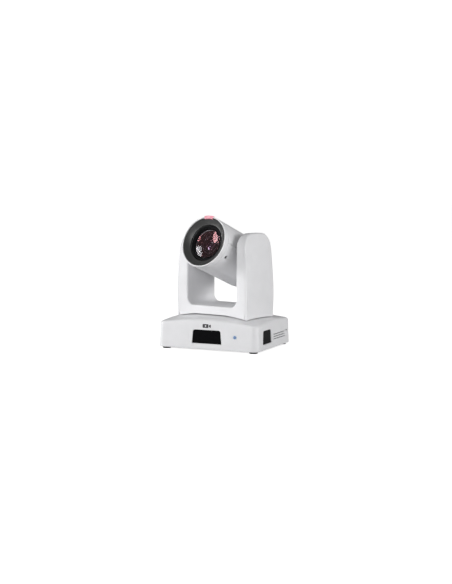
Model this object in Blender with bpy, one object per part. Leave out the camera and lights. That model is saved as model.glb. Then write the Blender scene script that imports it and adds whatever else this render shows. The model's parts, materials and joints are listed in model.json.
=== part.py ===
"""A desktop pan-tilt-zoom camera: a base with its drive and sockets, a U-shaped yoke that pans on
it, and a round camera head that tilts between the yoke's arms. Metres, +Z up, origin on the
surface it stands on, below the pan axis. The front faces -Y. It stands as stored: panned by
REST_PAN and tilted up by REST_TILT."""

import math

import bmesh
import bpy
from mathutils import Matrix, Vector

MM = 0.001
GAP = 0.3 * MM  # between touching pieces

# --- the base: a rounded box whose roof falls away from the pan axis as a shallow cone
BASE_WIDTH = 180 * MM
BASE_DEPTH = 145 * MM
BASE_CORNER = 11.5 * MM
BASE_BOTTOM = 3 * MM
BASE_WALL = 2.5 * MM
BASE_DRAFT = 1.0 * MM  # how far the walls lean in, from bottom to top
ROOF_TOP = 55 * MM
ROOF_FLAT_RADIUS = 50 * MM
ROOF_FALL = 1 / 6  # height lost per length outwards
ROOF_EDGE = 4 * MM  # rounding where the roof meets the walls
ROOF_HOLE_RADIUS = 19 * MM
FOOT_RADIUS = 7 * MM
PLATE_THICKNESS = 2 * MM
TRIPOD_FLANGE = 7 * MM
TRIPOD_THREAD = 3.175 * MM  # a quarter-inch camera screw
BOSS_RADIUS = 3.5 * MM
SCREW_RADIUS = 1.4 * MM

# --- windows, light and vents in the base's walls
WINDOW_BOTTOM = 12.7 * MM
WINDOW_HEIGHT = 22 * MM
WINDOW_CORNER = 3.5 * MM
WINDOW_TAPER = 1.6 * MM  # how much narrower each side is at the top
FRONT_WINDOW_WIDTH = 52.6 * MM
SIDE_WINDOW_WIDTH = 35.4 * MM
SIDE_WINDOW_Y = -31 * MM
LED_X = 50.4 * MM
LED_Z = 25.4 * MM
LED_RADIUS = 2 * MM
VENT_Y = 20.5 * MM
VENT_LENGTH = 50 * MM
VENT_HEIGHTS = (16.8 * MM, 20.7 * MM, 24.6 * MM)
VENT_SLOT = 1.3 * MM
LOCK_Y = 53 * MM  # the security-lock slot, on the right side
LOCK_Z = 25.5 * MM
LOCK_LENGTH = 6.4 * MM
LOCK_HEIGHT = 2.2 * MM

# --- the rear sockets, on a recessed sheet-metal tray
BAY_WIDTH = 128 * MM
BAY_BOTTOM = 8 * MM
BAY_TOP = 36 * MM
BAY_DEPTH = 11 * MM
SHEET = 1.2 * MM
BOARD_BOTTOM = 10 * MM
BOARD_THICKNESS = 1.6 * MM
PORT_DEPTH = 16 * MM
SDI_PROUD = 2.54 * MM  # how far the coaxial socket stands out past the rear wall

# --- the pan drive
DECK_BOTTOM = 30 * MM
DECK_THICKNESS = 2 * MM
SHAFT_RADIUS = 16 * MM
SHAFT_BORE = 11 * MM
BEARING_RING = 9 * MM  # from the shaft out to the seat
BEARING_HEIGHT = 6 * MM
GEAR_MODULE = 1.5 * MM
GEAR_TEETH = 48
PINION_TEETH = 10
GEAR_THICKNESS = 5 * MM
MOTOR_RADIUS = 17.5 * MM

# --- the yoke
SKIRT_GAP = 1.5 * MM  # between the roof and the yoke's underside
YOKE_INNER = 50 * MM  # half the gap between the arms
YOKE_OUTER = 72.4 * MM  # half the width, at its widest
YOKE_WIDEST_Z = 95 * MM
YOKE_TOP = 191 * MM
YOKE_LEAN = 7.2 * MM  # how far the arms' outer faces lean in at the top
YOKE_HALF_DEPTH = 38.6 * MM
YOKE_FLOOR = 70.5 * MM
YOKE_CORNER = 12 * MM  # inside, between the arms and the cross-piece
ARM_TOP_ROUND = 28 * MM  # in front
ARM_REAR_ROUND = 22 * MM
YOKE_FOOT = 44 * MM  # below the skirt, where the arms are cut to the roof's shape
YOKE_EDGE = 3 * MM
YOKE_WALL = 2.2 * MM
COVER_THICKNESS = 4 * MM
COVER_EDGE = 1.1 * MM
COVER_TOP_EDGE = 5 * MM
TURNTABLE_THICKNESS = 2 * MM

# --- the tilt drive
TILT_Z = 156 * MM
TILT_SHAFT_RADIUS = 8 * MM
COLLAR_RADIUS = 15 * MM
TILT_BEARING_RING = 7 * MM
PULLEY_RADIUS = 15 * MM
MOTOR_PULLEY_RADIUS = 5 * MM
PULLEY_WIDTH = 4 * MM
TILT_MOTOR_Z = 98 * MM
TILT_MOTOR_CLEARANCE = 0.8 * MM  # between the motor and its pulley
BELT_THICKNESS = 1 * MM

# --- the head, from the tilt axis: -Y is the lens side
HEAD_RADIUS = 43.2 * MM
HEAD_FRONT = 63.5 * MM
HEAD_REAR = 60 * MM
HEAD_WALL = 2.2 * MM
HEAD_REAR_ROUND = 9 * MM
RING_LENGTH = 9.2 * MM
RIM = 1.9 * MM
BEZEL_LIP = 1.3 * MM
BEZEL_DEPTH = 7 * MM
BARREL_ROOM = 13.2 * MM  # from the head's skin in to the lens barrel
BARREL_RADIUS = HEAD_RADIUS - BARREL_ROOM
BARREL_WALL = 2.3 * MM
BEZEL_THROAT = BARREL_RADIUS + 1 * MM
BARREL_REAR = 26 * MM
BARREL_FRONT = 54 * MM
BAFFLE_RADIUS = 15.5 * MM
BAFFLE_DEPTH = 4 * MM
LENS_SETBACK = 3.5 * MM  # from the barrel's front to the front lens's rim
CELL_CLEARANCE = 2 * MM  # left between the baffle and the zoom cell at rest
LENS_EDGE = 4 * MM
LENS_DOME = 4 * MM
CELL_LENGTH = 8 * MM
CELL_LENS_RADIUS = 11 * MM
ZOOM_TRAVEL = 16 * MM
FOCUS_TRAVEL = 5 * MM
FRAME_SIDE = BARREL_RADIUS + 1 * MM
FRAME_WALL = 2.4 * MM
FRAME_HALF_LENGTH = 12 * MM
FRAME_HALF_HEIGHT = 16 * MM
HUB_FLANGE_RADIUS = 17 * MM
HUB_FLANGE = 2 * MM
HUB_BORE = 4 * MM
SENSOR_BOARD_HALF = 0.585 * (HEAD_RADIUS - HEAD_WALL)
COVER_SEAM = 1 * MM  # height of the seam between the upper and lower covers
TALLY_WIDTH = 18 * MM
TALLY_LENGTH = 5.5 * MM
TALLY_PROUD = 1.3 * MM
TALLY_SUNK = 4.2 * MM
SCREW_HEAD_RADIUS = 2.3 * MM
SCREW_SUNK = 1.4 * MM
SCREW_STATION = 45 * MM
SCREW_ANGLE = math.radians(-28)

REST_PAN = math.radians(-11.5)
REST_TILT = math.radians(20.3)

COLOURS = {
    "white_plastic": ((0.80, 0.80, 0.81), 0.42, 0.0),
    "black_plastic": ((0.035, 0.035, 0.037), 0.45, 0.0),
    "bezel_black": ((0.07, 0.07, 0.07), 0.4, 0.0),
    "smoked_window": ((0.01, 0.01, 0.012), 0.12, 0.0),
    "lens_glass": ((0.06, 0.05, 0.09), 0.03, 0.0),
    "tally_red": ((0.85, 0.25, 0.33), 0.3, 0.0),
    "led_blue": ((0.10, 0.38, 0.80), 0.25, 0.0),
    "rubber": ((0.03, 0.03, 0.03), 0.85, 0.0),
    "steel": ((0.55, 0.56, 0.58), 0.35, 1.0),
    "aluminium": ((0.70, 0.71, 0.73), 0.4, 1.0),
    "brass": ((0.75, 0.60, 0.30), 0.35, 1.0),
    "board_green": ((0.02, 0.16, 0.07), 0.5, 0.0),
    "port_black": ((0.05, 0.05, 0.055), 0.5, 0.0),
    "acetal": ((0.86, 0.85, 0.80), 0.5, 0.0),
}


# ---------------------------------------------------------------- scene and materials


def clear_scene():
    for old in list(bpy.data.objects):
        bpy.data.objects.remove(old)


def material(name):
    found = bpy.data.materials.get(name)
    if found:
        return found
    colour, roughness, metallic = COLOURS[name]
    made = bpy.data.materials.new(name)
    made.use_nodes = True
    shader = made.node_tree.nodes["Principled BSDF"]
    shader.inputs["Base Color"].default_value = (*colour, 1)
    shader.inputs["Roughness"].default_value = roughness
    shader.inputs["Metallic"].default_value = metallic
    made.diffuse_color = (*colour, 1)
    return made


def empty(name, location, rotation, parent=None):
    made = bpy.data.objects.new(name, None)
    made.location = location
    made.rotation_euler = rotation
    made.parent = parent
    bpy.context.scene.collection.objects.link(made)
    return made


def finished(name, bm, finish, parent=None, smooth_angle=35):
    """An object from a bmesh, with its faces out, its material and its parent."""
    bmesh.ops.recalc_face_normals(bm, faces=bm.faces)
    if bm.calc_volume(signed=True) < 0:
        bmesh.ops.reverse_faces(bm, faces=bm.faces)
    mesh = bpy.data.meshes.new(name)
    bm.to_mesh(mesh)
    bm.free()
    mesh.shade_smooth()
    mesh.set_sharp_from_angle(angle=math.radians(smooth_angle))
    made = bpy.data.objects.new(name, mesh)
    if finish:
        mesh.materials.append(material(finish))
    made.parent = parent
    bpy.context.scene.collection.objects.link(made)
    return made


def cutter(name, bm, parent=None):
    made = finished(name, bm, None, parent)
    made.hide_render = True
    made.display_type = "WIRE"
    return made


def boolean(target, other, operation="DIFFERENCE"):
    modifier = target.modifiers.new(f"{operation.lower()} {other.name}", "BOOLEAN")
    modifier.operation = operation
    modifier.object = other
    modifier.solver = "EXACT"
    return target


# ---------------------------------------------------------------- shapes


def loft(rings, closed=False, ladder=False):
    """A solid skinned over rings with equal numbers of points; its ends are capped, or joined if
    closed. Ladder caps join each point to its mirror across the ring, for ends that are not flat."""
    bm = bmesh.new()
    rows = [[bm.verts.new(point) for point in ring] for ring in rings]
    count = len(rows[0])
    pairs = list(zip(rows, rows[1:]))
    if closed:
        pairs.append((rows[-1], rows[0]))
    for lower, upper in pairs:
        for i in range(count):
            j = (i + 1) % count
            bm.faces.new((lower[i], lower[j], upper[j], upper[i]))
    if closed:
        return bm
    if ladder:
        for row in (rows[0], rows[-1]):
            for i in range(count // 2 - 1):
                bm.faces.new((row[i], row[i + 1], row[count - 2 - i], row[count - 1 - i]))
        return bm
    bm.faces.new(reversed(rows[0]))
    bm.faces.new(rows[-1])
    return bm


def prism(outline, axis, low, high):
    """An outline in the plane across axis, extruded from low to high. The other two axes keep their order."""
    places = [index for index in range(3) if index != "XYZ".index(axis)]

    def lifted(level):
        ring = []
        for point in outline:
            place = [level] * 3
            place[places[0]], place[places[1]] = point
            ring.append(tuple(place))
        return ring

    return loft([lifted(low), lifted(high)])


def block(low, high):
    """A box between two corners."""
    outline = [(low[0], low[1]), (high[0], low[1]), (high[0], high[1]), (low[0], high[1])]
    return prism(outline, "Z", low[2], high[2])


def lathe(profile, axis, segments, centre=(0, 0, 0), start=0.0):
    """A closed profile of (radius, along) turned about an axis through centre. It stays clear of the
    axis or ends on it."""
    turned = {"X": (1, 2, 0), "Y": (2, 0, 1), "Z": (0, 1, 2)}[axis]
    bm = bmesh.new()
    rows = []
    for radius, along in profile:
        if radius == 0:
            place = [0.0] * 3
            place[turned[2]] = along
            rows.append([bm.verts.new(Vector(place) + Vector(centre))])
            continue
        row = []
        for step in range(segments):
            angle = start + 2 * math.pi * step / segments
            place = [0.0] * 3
            place[turned[0]] = radius * math.cos(angle)
            place[turned[1]] = radius * math.sin(angle)
            place[turned[2]] = along
            row.append(bm.verts.new(Vector(place) + Vector(centre)))
        rows.append(row)
    for first, second in zip(rows, rows[1:] + rows[:1]):
        if len(first) == len(second) == 1:
            continue
        for i in range(segments):
            j = (i + 1) % segments
            near = [first[i % len(first)], first[j % len(first)]]
            far = [second[j % len(second)], second[i % len(second)]]
            bm.faces.new(list(dict.fromkeys(near + far)))
    return bm


def tube(outer, inner, axis, low, high, segments, centre=(0, 0, 0)):
    return lathe([(outer, low), (outer, high), (inner, high), (inner, low)], axis, segments, centre)


def rod(radius, axis, low, high, segments, centre=(0, 0, 0)):
    return lathe([(0, low), (radius, low), (radius, high), (0, high)], axis, segments, centre)


def arc(centre, radius, first, last, steps):
    """Points of an arc from angle first to last, both ends included."""
    angles = [first + (last - first) * step / steps for step in range(steps + 1)]
    return [(centre[0] + radius * math.cos(a), centre[1] + radius * math.sin(a)) for a in angles]


def rounded_rectangle(half_width, half_depth, radius, steps, straight=(0, 0)):
    """A rectangle with round corners; straight gives the extra points on its two kinds of side."""
    corners = [(1, 1), (-1, 1), (-1, -1), (1, -1)]
    points = []
    for turn, (sx, sy) in enumerate(corners):
        centre = (sx * (half_width - radius), sy * (half_depth - radius))
        quarter = arc(centre, radius, turn * math.pi / 2, (turn + 1) * math.pi / 2, steps)
        nx, ny = corners[(turn + 1) % 4]
        following = (nx * (half_width - radius), ny * (half_depth - radius))
        start = arc(following, radius, (turn + 1) * math.pi / 2, (turn + 1) * math.pi / 2 + 1, 1)[0]
        extra = straight[turn % 2]
        points += quarter
        for k in range(extra):
            share = (k + 1) / (extra + 1)
            points.append(tuple(a + (b - a) * share for a, b in zip(quarter[-1], start)))
    return points


def window_outline(width, grow=0.0, corner_steps=4):
    """A window's outline in (across, up): an upright trapezium, round at its top corners. grow
    offsets it outwards."""
    half_low = width / 2 + grow
    half_high = width / 2 - WINDOW_TAPER + grow
    low = WINDOW_BOTTOM - grow
    high = WINDOW_BOTTOM + WINDOW_HEIGHT + grow
    radius = WINDOW_CORNER + grow
    right = arc((half_high - radius, high - radius), radius, 0, math.pi / 2, corner_steps)
    left = [(-x, z) for x, z in reversed(right)]
    return [(-half_low, low), (half_low, low), *right, *left]


# ---------------------------------------------------------------- base


def roof_height(x, y):
    """The roof's height over a point: level round the pan axis, then a cone."""
    return ROOF_TOP - max(0.0, math.hypot(x, y) - ROOF_FLAT_RADIUS) * ROOF_FALL


def base_ring(inset, height_of, corner_steps=4):
    """The base's outline, moved in by inset and raised to height_of(x, y)."""
    outline = rounded_rectangle(
        BASE_WIDTH / 2 - inset, BASE_DEPTH / 2 - inset, max(BASE_CORNER - inset, 2 * MM), corner_steps, (5, 3)
    )
    return [(x, y, height_of(x, y)) for x, y in outline]


def ring_towards(ring, share, height_of):
    """A ring part of the way from ring to the roof's hole, on the same spokes."""
    made = []
    for x, y, _ in ring:
        reach = math.hypot(x, y)
        radius = reach + (ROOF_HOLE_RADIUS - reach) * share
        inner_x, inner_y = x / reach * radius, y / reach * radius
        made.append((inner_x, inner_y, height_of(inner_x, inner_y)))
    return made


def roof_rings(inset, drop):
    """Rings from the top of the wall, round the roof's edge and in to the hole, inset and lowered by
    the wall."""
    edge = max(ROOF_EDGE - drop, 1 * MM)
    rings = []
    for step in range(3):
        turn = step / 2 * math.pi / 2
        into = inset + BASE_DRAFT + edge * (1 - math.cos(turn))
        down = drop + edge * (1 - math.sin(turn))
        rings.append(base_ring(into, lambda x, y: roof_height(x, y) - down))
    for share in (0.35, 0.68, 1.0):
        rings.append(ring_towards(rings[2], share, lambda x, y: roof_height(x, y) - drop))
    return rings


def build_base_housing():
    chamfer = 1.2 * MM
    outside = [
        base_ring(chamfer, lambda x, y: BASE_BOTTOM),
        base_ring(0, lambda x, y: BASE_BOTTOM + chamfer),
        *roof_rings(0, 0),
    ]
    inside = [base_ring(BASE_WALL, lambda x, y: BASE_BOTTOM), *roof_rings(BASE_WALL, BASE_WALL)]
    housing = finished("base_housing", loft(outside + inside[::-1], closed=True), "white_plastic")
    front = BASE_DEPTH / 2
    side = BASE_WIDTH / 2
    deep = 6 * MM
    cut_front = prism(window_outline(FRONT_WINDOW_WIDTH, GAP), "Y", -front - deep, -front + deep)
    boolean(housing, cutter("cut_front_window", cut_front))
    for sign, label in ((1, "right"), (-1, "left")):
        outline = [(y + SIDE_WINDOW_Y, z) for y, z in window_outline(SIDE_WINDOW_WIDTH, GAP)]
        low, high = sorted((sign * (side - deep), sign * (side + deep)))
        boolean(housing, cutter(f"cut_{label}_window", prism(outline, "X", low, high)))
        for number, height in enumerate(VENT_HEIGHTS):
            slot = block(
                (low, VENT_Y - VENT_LENGTH / 2, height - VENT_SLOT / 2),
                (high, VENT_Y + VENT_LENGTH / 2, height + VENT_SLOT / 2),
            )
            boolean(housing, cutter(f"cut_{label}_vent_{number}", slot))
    lock = block(
        (side - deep, LOCK_Y - LOCK_LENGTH / 2, LOCK_Z - LOCK_HEIGHT / 2),
        (side + deep, LOCK_Y + LOCK_LENGTH / 2, LOCK_Z + LOCK_HEIGHT / 2),
    )
    boolean(housing, cutter("cut_lock", lock))
    led = rod(LED_RADIUS + GAP, "Y", -front - deep, -front + deep, 16, (LED_X, 0, LED_Z))
    boolean(housing, cutter("cut_led", led))
    bay = block((-BAY_WIDTH / 2, front - deep, BAY_BOTTOM), (BAY_WIDTH / 2, front + deep, BAY_TOP))
    boolean(housing, cutter("cut_bay", bay))
    for name, (x, y) in boss_places().items():
        top = roof_height(x, y) - BASE_WALL / 2
        post = rod(BOSS_RADIUS, "Z", plate_top() + GAP, top, 10, (x, y, 0))
        boolean(housing, cutter(f"post_{name}", post), "UNION")
        bore = rod(SCREW_RADIUS + GAP, "Z", BASE_BOTTOM, plate_top() + 10 * MM, 8, (x, y, 0))
        boolean(housing, cutter(f"bore_{name}", bore))
    return housing


def plate_bottom():
    return BASE_BOTTOM + 0.2 * MM


def plate_top():
    return plate_bottom() + PLATE_THICKNESS


def boss_places():
    """The posts that the base plate's screws go into, clear of the legs of the chassis."""
    x = BASE_WIDTH / 2 - 10 * MM
    y = BASE_DEPTH / 2 - 28.5 * MM
    return {
        "front_left": (-x, -y),
        "front_right": (x, -y),
        "rear_left": (-x, y),
        "rear_right": (x, y),
    }


def foot_places():
    reach = BASE_CORNER + 0.2 * MM
    x, y = BASE_WIDTH / 2 - reach, BASE_DEPTH / 2 - reach
    return {"front_left": (-x, -y), "front_right": (x, -y), "rear_left": (-x, y), "rear_right": (x, y)}


def build_base_plate():
    inset = BASE_WALL + 0.4 * MM
    outline = rounded_rectangle(BASE_WIDTH / 2 - inset, BASE_DEPTH / 2 - inset, BASE_CORNER - inset, 4)
    plate = finished("base_plate", prism(outline, "Z", plate_bottom(), plate_top()), "steel")
    hole = rod(TRIPOD_FLANGE + GAP, "Z", 0, 2 * plate_top(), 20)
    boolean(plate, cutter("cut_tripod", hole))
    for name, (x, y) in boss_places().items():
        boolean(plate, cutter(f"cut_screw_{name}", rod(3.1 * MM, "Z", 0, 2 * plate_top(), 10, (x, y, 0))))
        profile = [
            (0, plate_bottom() + 0.2 * MM),
            (2.8 * MM, plate_bottom() + 0.2 * MM),
            (2.8 * MM, plate_top() - 0.1 * MM),
            (SCREW_RADIUS, plate_top() - 0.1 * MM),
            (SCREW_RADIUS, plate_top() + 8 * MM),
            (0, plate_top() + 8 * MM),
        ]
        finished(f"base_screw_{name}", lathe(profile, "Z", 10, (x, y, 0)), "steel")
    for name, (x, y) in foot_places().items():
        edge = 0.5 * MM
        top = plate_bottom() - GAP
        profile = [(0, 0), (FOOT_RADIUS - edge, 0), (FOOT_RADIUS, edge), (FOOT_RADIUS, top), (0, top)]
        finished(f"foot_{name}", lathe(profile, "Z", 20, (x, y, 0)), "rubber")


def build_tripod_insert():
    top = BOARD_BOTTOM - 2 * GAP
    made = tube(TRIPOD_FLANGE, TRIPOD_THREAD, "Z", plate_bottom() - GAP, top, 20)
    finished("tripod_insert", made, "brass")


def build_windows():
    front = BASE_DEPTH / 2
    side = BASE_WIDTH / 2
    recess = 0.5 * MM + BASE_DRAFT
    thickness = 2 * MM
    made = prism(window_outline(FRONT_WINDOW_WIDTH), "Y", -front + recess, -front + recess + thickness)
    finished("front_ir_window", made, "smoked_window")
    outline = [(y + SIDE_WINDOW_Y, z) for y, z in window_outline(SIDE_WINDOW_WIDTH)]
    right = prism(outline, "X", side - recess - thickness, side - recess)
    finished("right_ir_window", right, "smoked_window")
    left = prism(outline, "X", -side + recess, -side + recess + thickness)
    finished("left_ir_window", left, "smoked_window")
    led = rod(LED_RADIUS, "Y", -front + 0.6 * MM, -front + 8 * MM, 16, (LED_X, 0, LED_Z))
    finished("status_led", led, "led_blue")


def bay_back():
    """Where the tray's back sheet faces the outside."""
    return BASE_DEPTH / 2 - BAY_DEPTH


def build_rear_bay():
    """A five-sided sheet tray behind the opening in the rear wall, with the sockets through its back."""
    rim = BASE_DEPTH / 2 - BASE_WALL - BASE_DRAFT - GAP
    half = BAY_WIDTH / 2 + SHEET
    low, high = BAY_BOTTOM - SHEET, BAY_TOP + SHEET
    tray = finished("rear_panel", block((-half, bay_back() - SHEET, low), (half, rim, high)), "port_black")
    hollow = block((-half + SHEET, bay_back(), low + SHEET), (half - SHEET, rim + SHEET, high - SHEET))
    boolean(tray, cutter("cut_bay_hollow", hollow))
    for name, (x, half_width, height, _) in port_sizes().items():
        floor = board_top() + GAP
        hole = block(
            (x - half_width - GAP, bay_back() - 2 * SHEET, floor - GAP),
            (x + half_width + GAP, bay_back() + SHEET, floor + height + GAP),
        )
        boolean(tray, cutter(f"cut_{name}", hole))
        build_port(name)


def board_top():
    return BOARD_BOTTOM + BOARD_THICKNESS


def port_sizes():
    """Each socket's place across the rear, half width, height and finish."""
    return {
        "dc_jack": (-54 * MM, 4.5 * MM, 11 * MM, "port_black"),
        "control_port": (-37 * MM, 7 * MM, 13 * MM, "port_black"),
        "usb_port": (-18 * MM, 6 * MM, 12.4 * MM, "steel"),
        "hdmi_port": (2 * MM, 7.7 * MM, 6.4 * MM, "steel"),
        "lan_port": (23 * MM, 8 * MM, 13.5 * MM, "steel"),
        "sdi_port": (42 * MM, 6.5 * MM, 13 * MM, "steel"),
        "audio_jack": (56 * MM, 4 * MM, 9 * MM, "acetal"),
    }


def build_port(name):
    """One socket: a box on the board that comes through the tray, with its own opening or barrel."""
    x, half_width, height, finish = port_sizes()[name]
    low = board_top() + GAP
    middle = low + height / 2
    proud = 1.5 * MM
    face = bay_back() + proud
    box = block((x - half_width, face - PORT_DEPTH, low), (x + half_width, face, low + height))
    body = finished(name, box, finish)
    centre = (x, 0, middle)
    past = face + 2 * MM
    if name == "dc_jack":
        boolean(body, cutter("bore_dc", tube(3 * MM, 1 * MM, "Y", face - 9 * MM, past, 12, centre)))
    elif name == "control_port":
        boolean(body, cutter("bore_control", rod(4.7 * MM, "Y", face - 8 * MM, past, 16, centre)))
    elif name == "usb_port":
        boolean(body, cutter("bore_usb", pocket(x, middle, 8.8 * MM, 10 * MM, face, 10 * MM)))
    elif name == "hdmi_port":
        boolean(body, cutter("bore_hdmi", pocket(x, middle, 14 * MM, 5 * MM, face, 9 * MM)))
    elif name == "lan_port":
        boolean(body, cutter("bore_lan", pocket(x, middle, 12 * MM, 9 * MM, face, 11 * MM)))
    elif name == "sdi_port":
        reach = BASE_DEPTH / 2 + SDI_PROUD
        profile = [
            (0, face - 1 * MM),
            (4.8 * MM, face - 1 * MM),
            (4.8 * MM, reach),
            (3.9 * MM, reach),
            (3.9 * MM, face),
            (1 * MM, face),
            (1 * MM, reach - 2 * MM),
            (0, reach - 2 * MM),
        ]
        boolean(body, cutter("barrel_sdi", lathe(profile, "Y", 18, centre)), "UNION")
    else:
        boolean(body, cutter("bore_audio", rod(1.8 * MM, "Y", face - 9 * MM, past, 12, centre)))
    return body


def pocket(x, middle, width, height, face, depth):
    """The hollow of a square socket."""
    low = (x - width / 2, face - depth, middle - height / 2)
    high = (x + width / 2, face + depth, middle + height / 2)
    return block(low, high)


def chassis_half_width():
    return BASE_WIDTH / 2 - 14 * MM


def build_chassis():
    """The folded steel deck that carries the pan bearing and motor, with a leg at each side."""
    half = chassis_half_width()
    leg = 1.5 * MM
    front, rear = -56 * MM, 40 * MM
    top = DECK_BOTTOM + DECK_THICKNESS
    section = [
        (-half, plate_top() + GAP),
        (-half + leg, plate_top() + GAP),
        (-half + leg, DECK_BOTTOM),
        (half - leg, DECK_BOTTOM),
        (half - leg, plate_top() + GAP),
        (half, plate_top() + GAP),
        (half, top),
        (-half, top),
    ]
    deck = finished("chassis", prism(section, "Y", front, rear), "steel")
    seat = race_outer() + GAP
    collar = tube(seat + 2.5 * MM, seat, "Z", top - 1 * MM, top + BEARING_HEIGHT, 28)
    boolean(deck, cutter("collar", collar), "UNION")
    boolean(deck, cutter("cut_deck", rod(SHAFT_RADIUS + 3 * MM, "Z", DECK_BOTTOM - top, top * 2, 28)))
    boolean(deck, cutter("cut_pinion", rod(3.4 * MM, "Z", DECK_BOTTOM - top, top * 2, 12, pinion_centre())))


def race_outer():
    return SHAFT_RADIUS + GAP + BEARING_RING


def build_main_board():
    half = chassis_half_width() - 1.5 * MM - 1 * MM
    board = finished(
        "main_board",
        block((-half, -50 * MM, BOARD_BOTTOM), (half, bay_back() - SHEET - GAP, board_top())),
        "board_green",
    )
    return board


# ---------------------------------------------------------------- pan drive


def gear_outline(teeth, backlash):
    """A spur gear's outline with straight-flanked teeth, thinned by backlash. Tooth zero points along +X."""
    pitch = GEAR_MODULE * teeth / 2
    tip = pitch + 0.82 * GEAR_MODULE
    root = pitch - 1.1 * GEAR_MODULE
    half_pitch = math.pi / teeth / 2 - backlash / pitch / 2
    slope = math.tan(math.radians(20))
    points = []
    for tooth in range(teeth):
        middle = 2 * math.pi * tooth / teeth
        wide = half_pitch + (pitch - root) * slope / pitch
        narrow = half_pitch - (tip - pitch) * slope / pitch
        for radius, offset in ((root, -wide), (tip, -narrow), (tip, narrow), (root, wide)):
            points.append((radius * math.cos(middle + offset), radius * math.sin(middle + offset)))
    return points


def gear_distance():
    return GEAR_MODULE * (GEAR_TEETH + PINION_TEETH) / 2


def pinion_centre():
    return (-gear_distance(), 0, 0)


def gear_low():
    return DECK_BOTTOM + DECK_THICKNESS + BEARING_HEIGHT + 1.5 * MM


def build_pan_drive(yoke):
    """The hollow shaft, its bearing, the wheel on it, and the motor and pinion beside it."""
    top = DECK_BOTTOM + DECK_THICKNESS
    low, high = top + GAP, top + GAP + BEARING_HEIGHT
    finished("pan_bearing", tube(race_outer(), SHAFT_RADIUS + GAP, "Z", low, high, 28), "steel")
    shaft = tube(SHAFT_RADIUS, SHAFT_BORE, "Z", top - 1 * MM, turntable_bottom() - GAP, 28)
    finished("pan_shaft", shaft, "aluminium", yoke)
    # The gear meets the pinion on the pinion's side when the yoke stands at rest.
    turned = math.pi - REST_PAN
    step = 2 * math.pi / GEAR_TEETH
    spare = turned - round(turned / step) * step
    outline = gear_outline(GEAR_TEETH, 0.25 * MM)
    gear = finished("pan_gear", prism(outline, "Z", gear_low(), gear_low() + GEAR_THICKNESS), "acetal", yoke)
    gear.data.transform(Matrix.Rotation(spare, 4, "Z"))
    boolean(gear, cutter("cut_gear_bore", rod(SHAFT_RADIUS + GAP, "Z", 0, 2 * gear_low(), 28), yoke))
    pinion_high = gear_low() + GEAR_THICKNESS + 0.3 * MM
    teeth = prism(gear_outline(PINION_TEETH, 0.25 * MM), "Z", gear_low() - 0.3 * MM, pinion_high)
    bmesh.ops.rotate(teeth, verts=teeth.verts, matrix=Matrix.Rotation(math.pi / PINION_TEETH, 3, "Z"))
    pinion = finished("pan_pinion", teeth, "steel")
    pinion.location = pinion_centre()
    spindle = cutter("spindle", rod(2.2 * MM, "Z", DECK_BOTTOM, pinion_high - 2 * MM, 12), pinion)
    boolean(pinion, spindle, "UNION")
    x, y, _ = pinion_centre()
    bottom = board_top() + 1.5 * MM
    finished("pan_motor", rod(MOTOR_RADIUS, "Z", bottom, DECK_BOTTOM - GAP, 24, (x, y, 0)), "steel")


# ---------------------------------------------------------------- yoke


def arm_outer(z):
    """Half the yoke's width at a height: widest at YOKE_WIDEST_Z, leaning in towards the top."""
    above = z - YOKE_WIDEST_Z
    if above < 0:
        return YOKE_OUTER - 1.2 * MM * (above / (45 * MM)) ** 2
    return YOKE_OUTER - YOKE_LEAN * (above / (YOKE_TOP - YOKE_WIDEST_Z)) ** 1.35


def arm_depth(z):
    """Half the yoke's depth at a height, below the round top."""
    above = (z - YOKE_WIDEST_Z) / (YOKE_TOP - YOKE_WIDEST_Z)
    return YOKE_HALF_DEPTH - 1.4 * MM * above**2


def arm_outline(inset, low, steps_up=5, steps_round=6):
    """An arm's side view in (depth, height), from its front foot over the round top to its rear
    foot."""
    halves = []
    for rounding in (ARM_TOP_ROUND, ARM_REAR_ROUND):
        spring = YOKE_TOP - rounding
        half = []
        for step in range(steps_up):
            z = low + (spring - low) * step / steps_up
            half.append((arm_depth(z) - inset, z))
        flat = arm_depth(spring) - rounding
        half += arc((flat, spring), rounding - inset, 0, math.pi / 2, steps_round)
        halves.append(half)
    front, rear = halves
    return [(-y, z) for y, z in front] + [(y, z) for y, z in reversed(rear)]


def arm_block(sign, inner, outer_inset, inset, low):
    """The whole of an arm between its inner face and its outer face less outer_inset, smaller by
    inset all round."""
    rings = []
    for turn in (0, 0.5, 1):
        off = COVER_EDGE * (1 - math.sin(turn * math.pi / 2))
        face = inner + COVER_EDGE * (1 - math.cos(turn * math.pi / 2))
        rings.append([(sign * face, y, z) for y, z in arm_outline(inset + off, low)])
    rings.append([(sign * (arm_outer(z) - outer_inset), y, z) for y, z in arm_outline(inset, low)])
    return loft(rings, ladder=True)


def arm_pocket(sign, low):
    """The room inside an arm, open on its outer side."""
    outline = arm_outline(YOKE_WALL, low)
    rings = [[(sign * x, y, z) for y, z in outline] for x in (YOKE_INNER + YOKE_WALL, YOKE_OUTER + YOKE_WALL)]
    return loft(rings, ladder=True)


def cover_edge(z):
    """The rounding of a cover's outer edge: small up the front, growing over the round top."""
    share = max(0.0, (z - (YOKE_TOP - 1.3 * ARM_TOP_ROUND)) / (1.3 * ARM_TOP_ROUND))
    return COVER_EDGE + (COVER_TOP_EDGE - COVER_EDGE) * share**1.5


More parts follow.
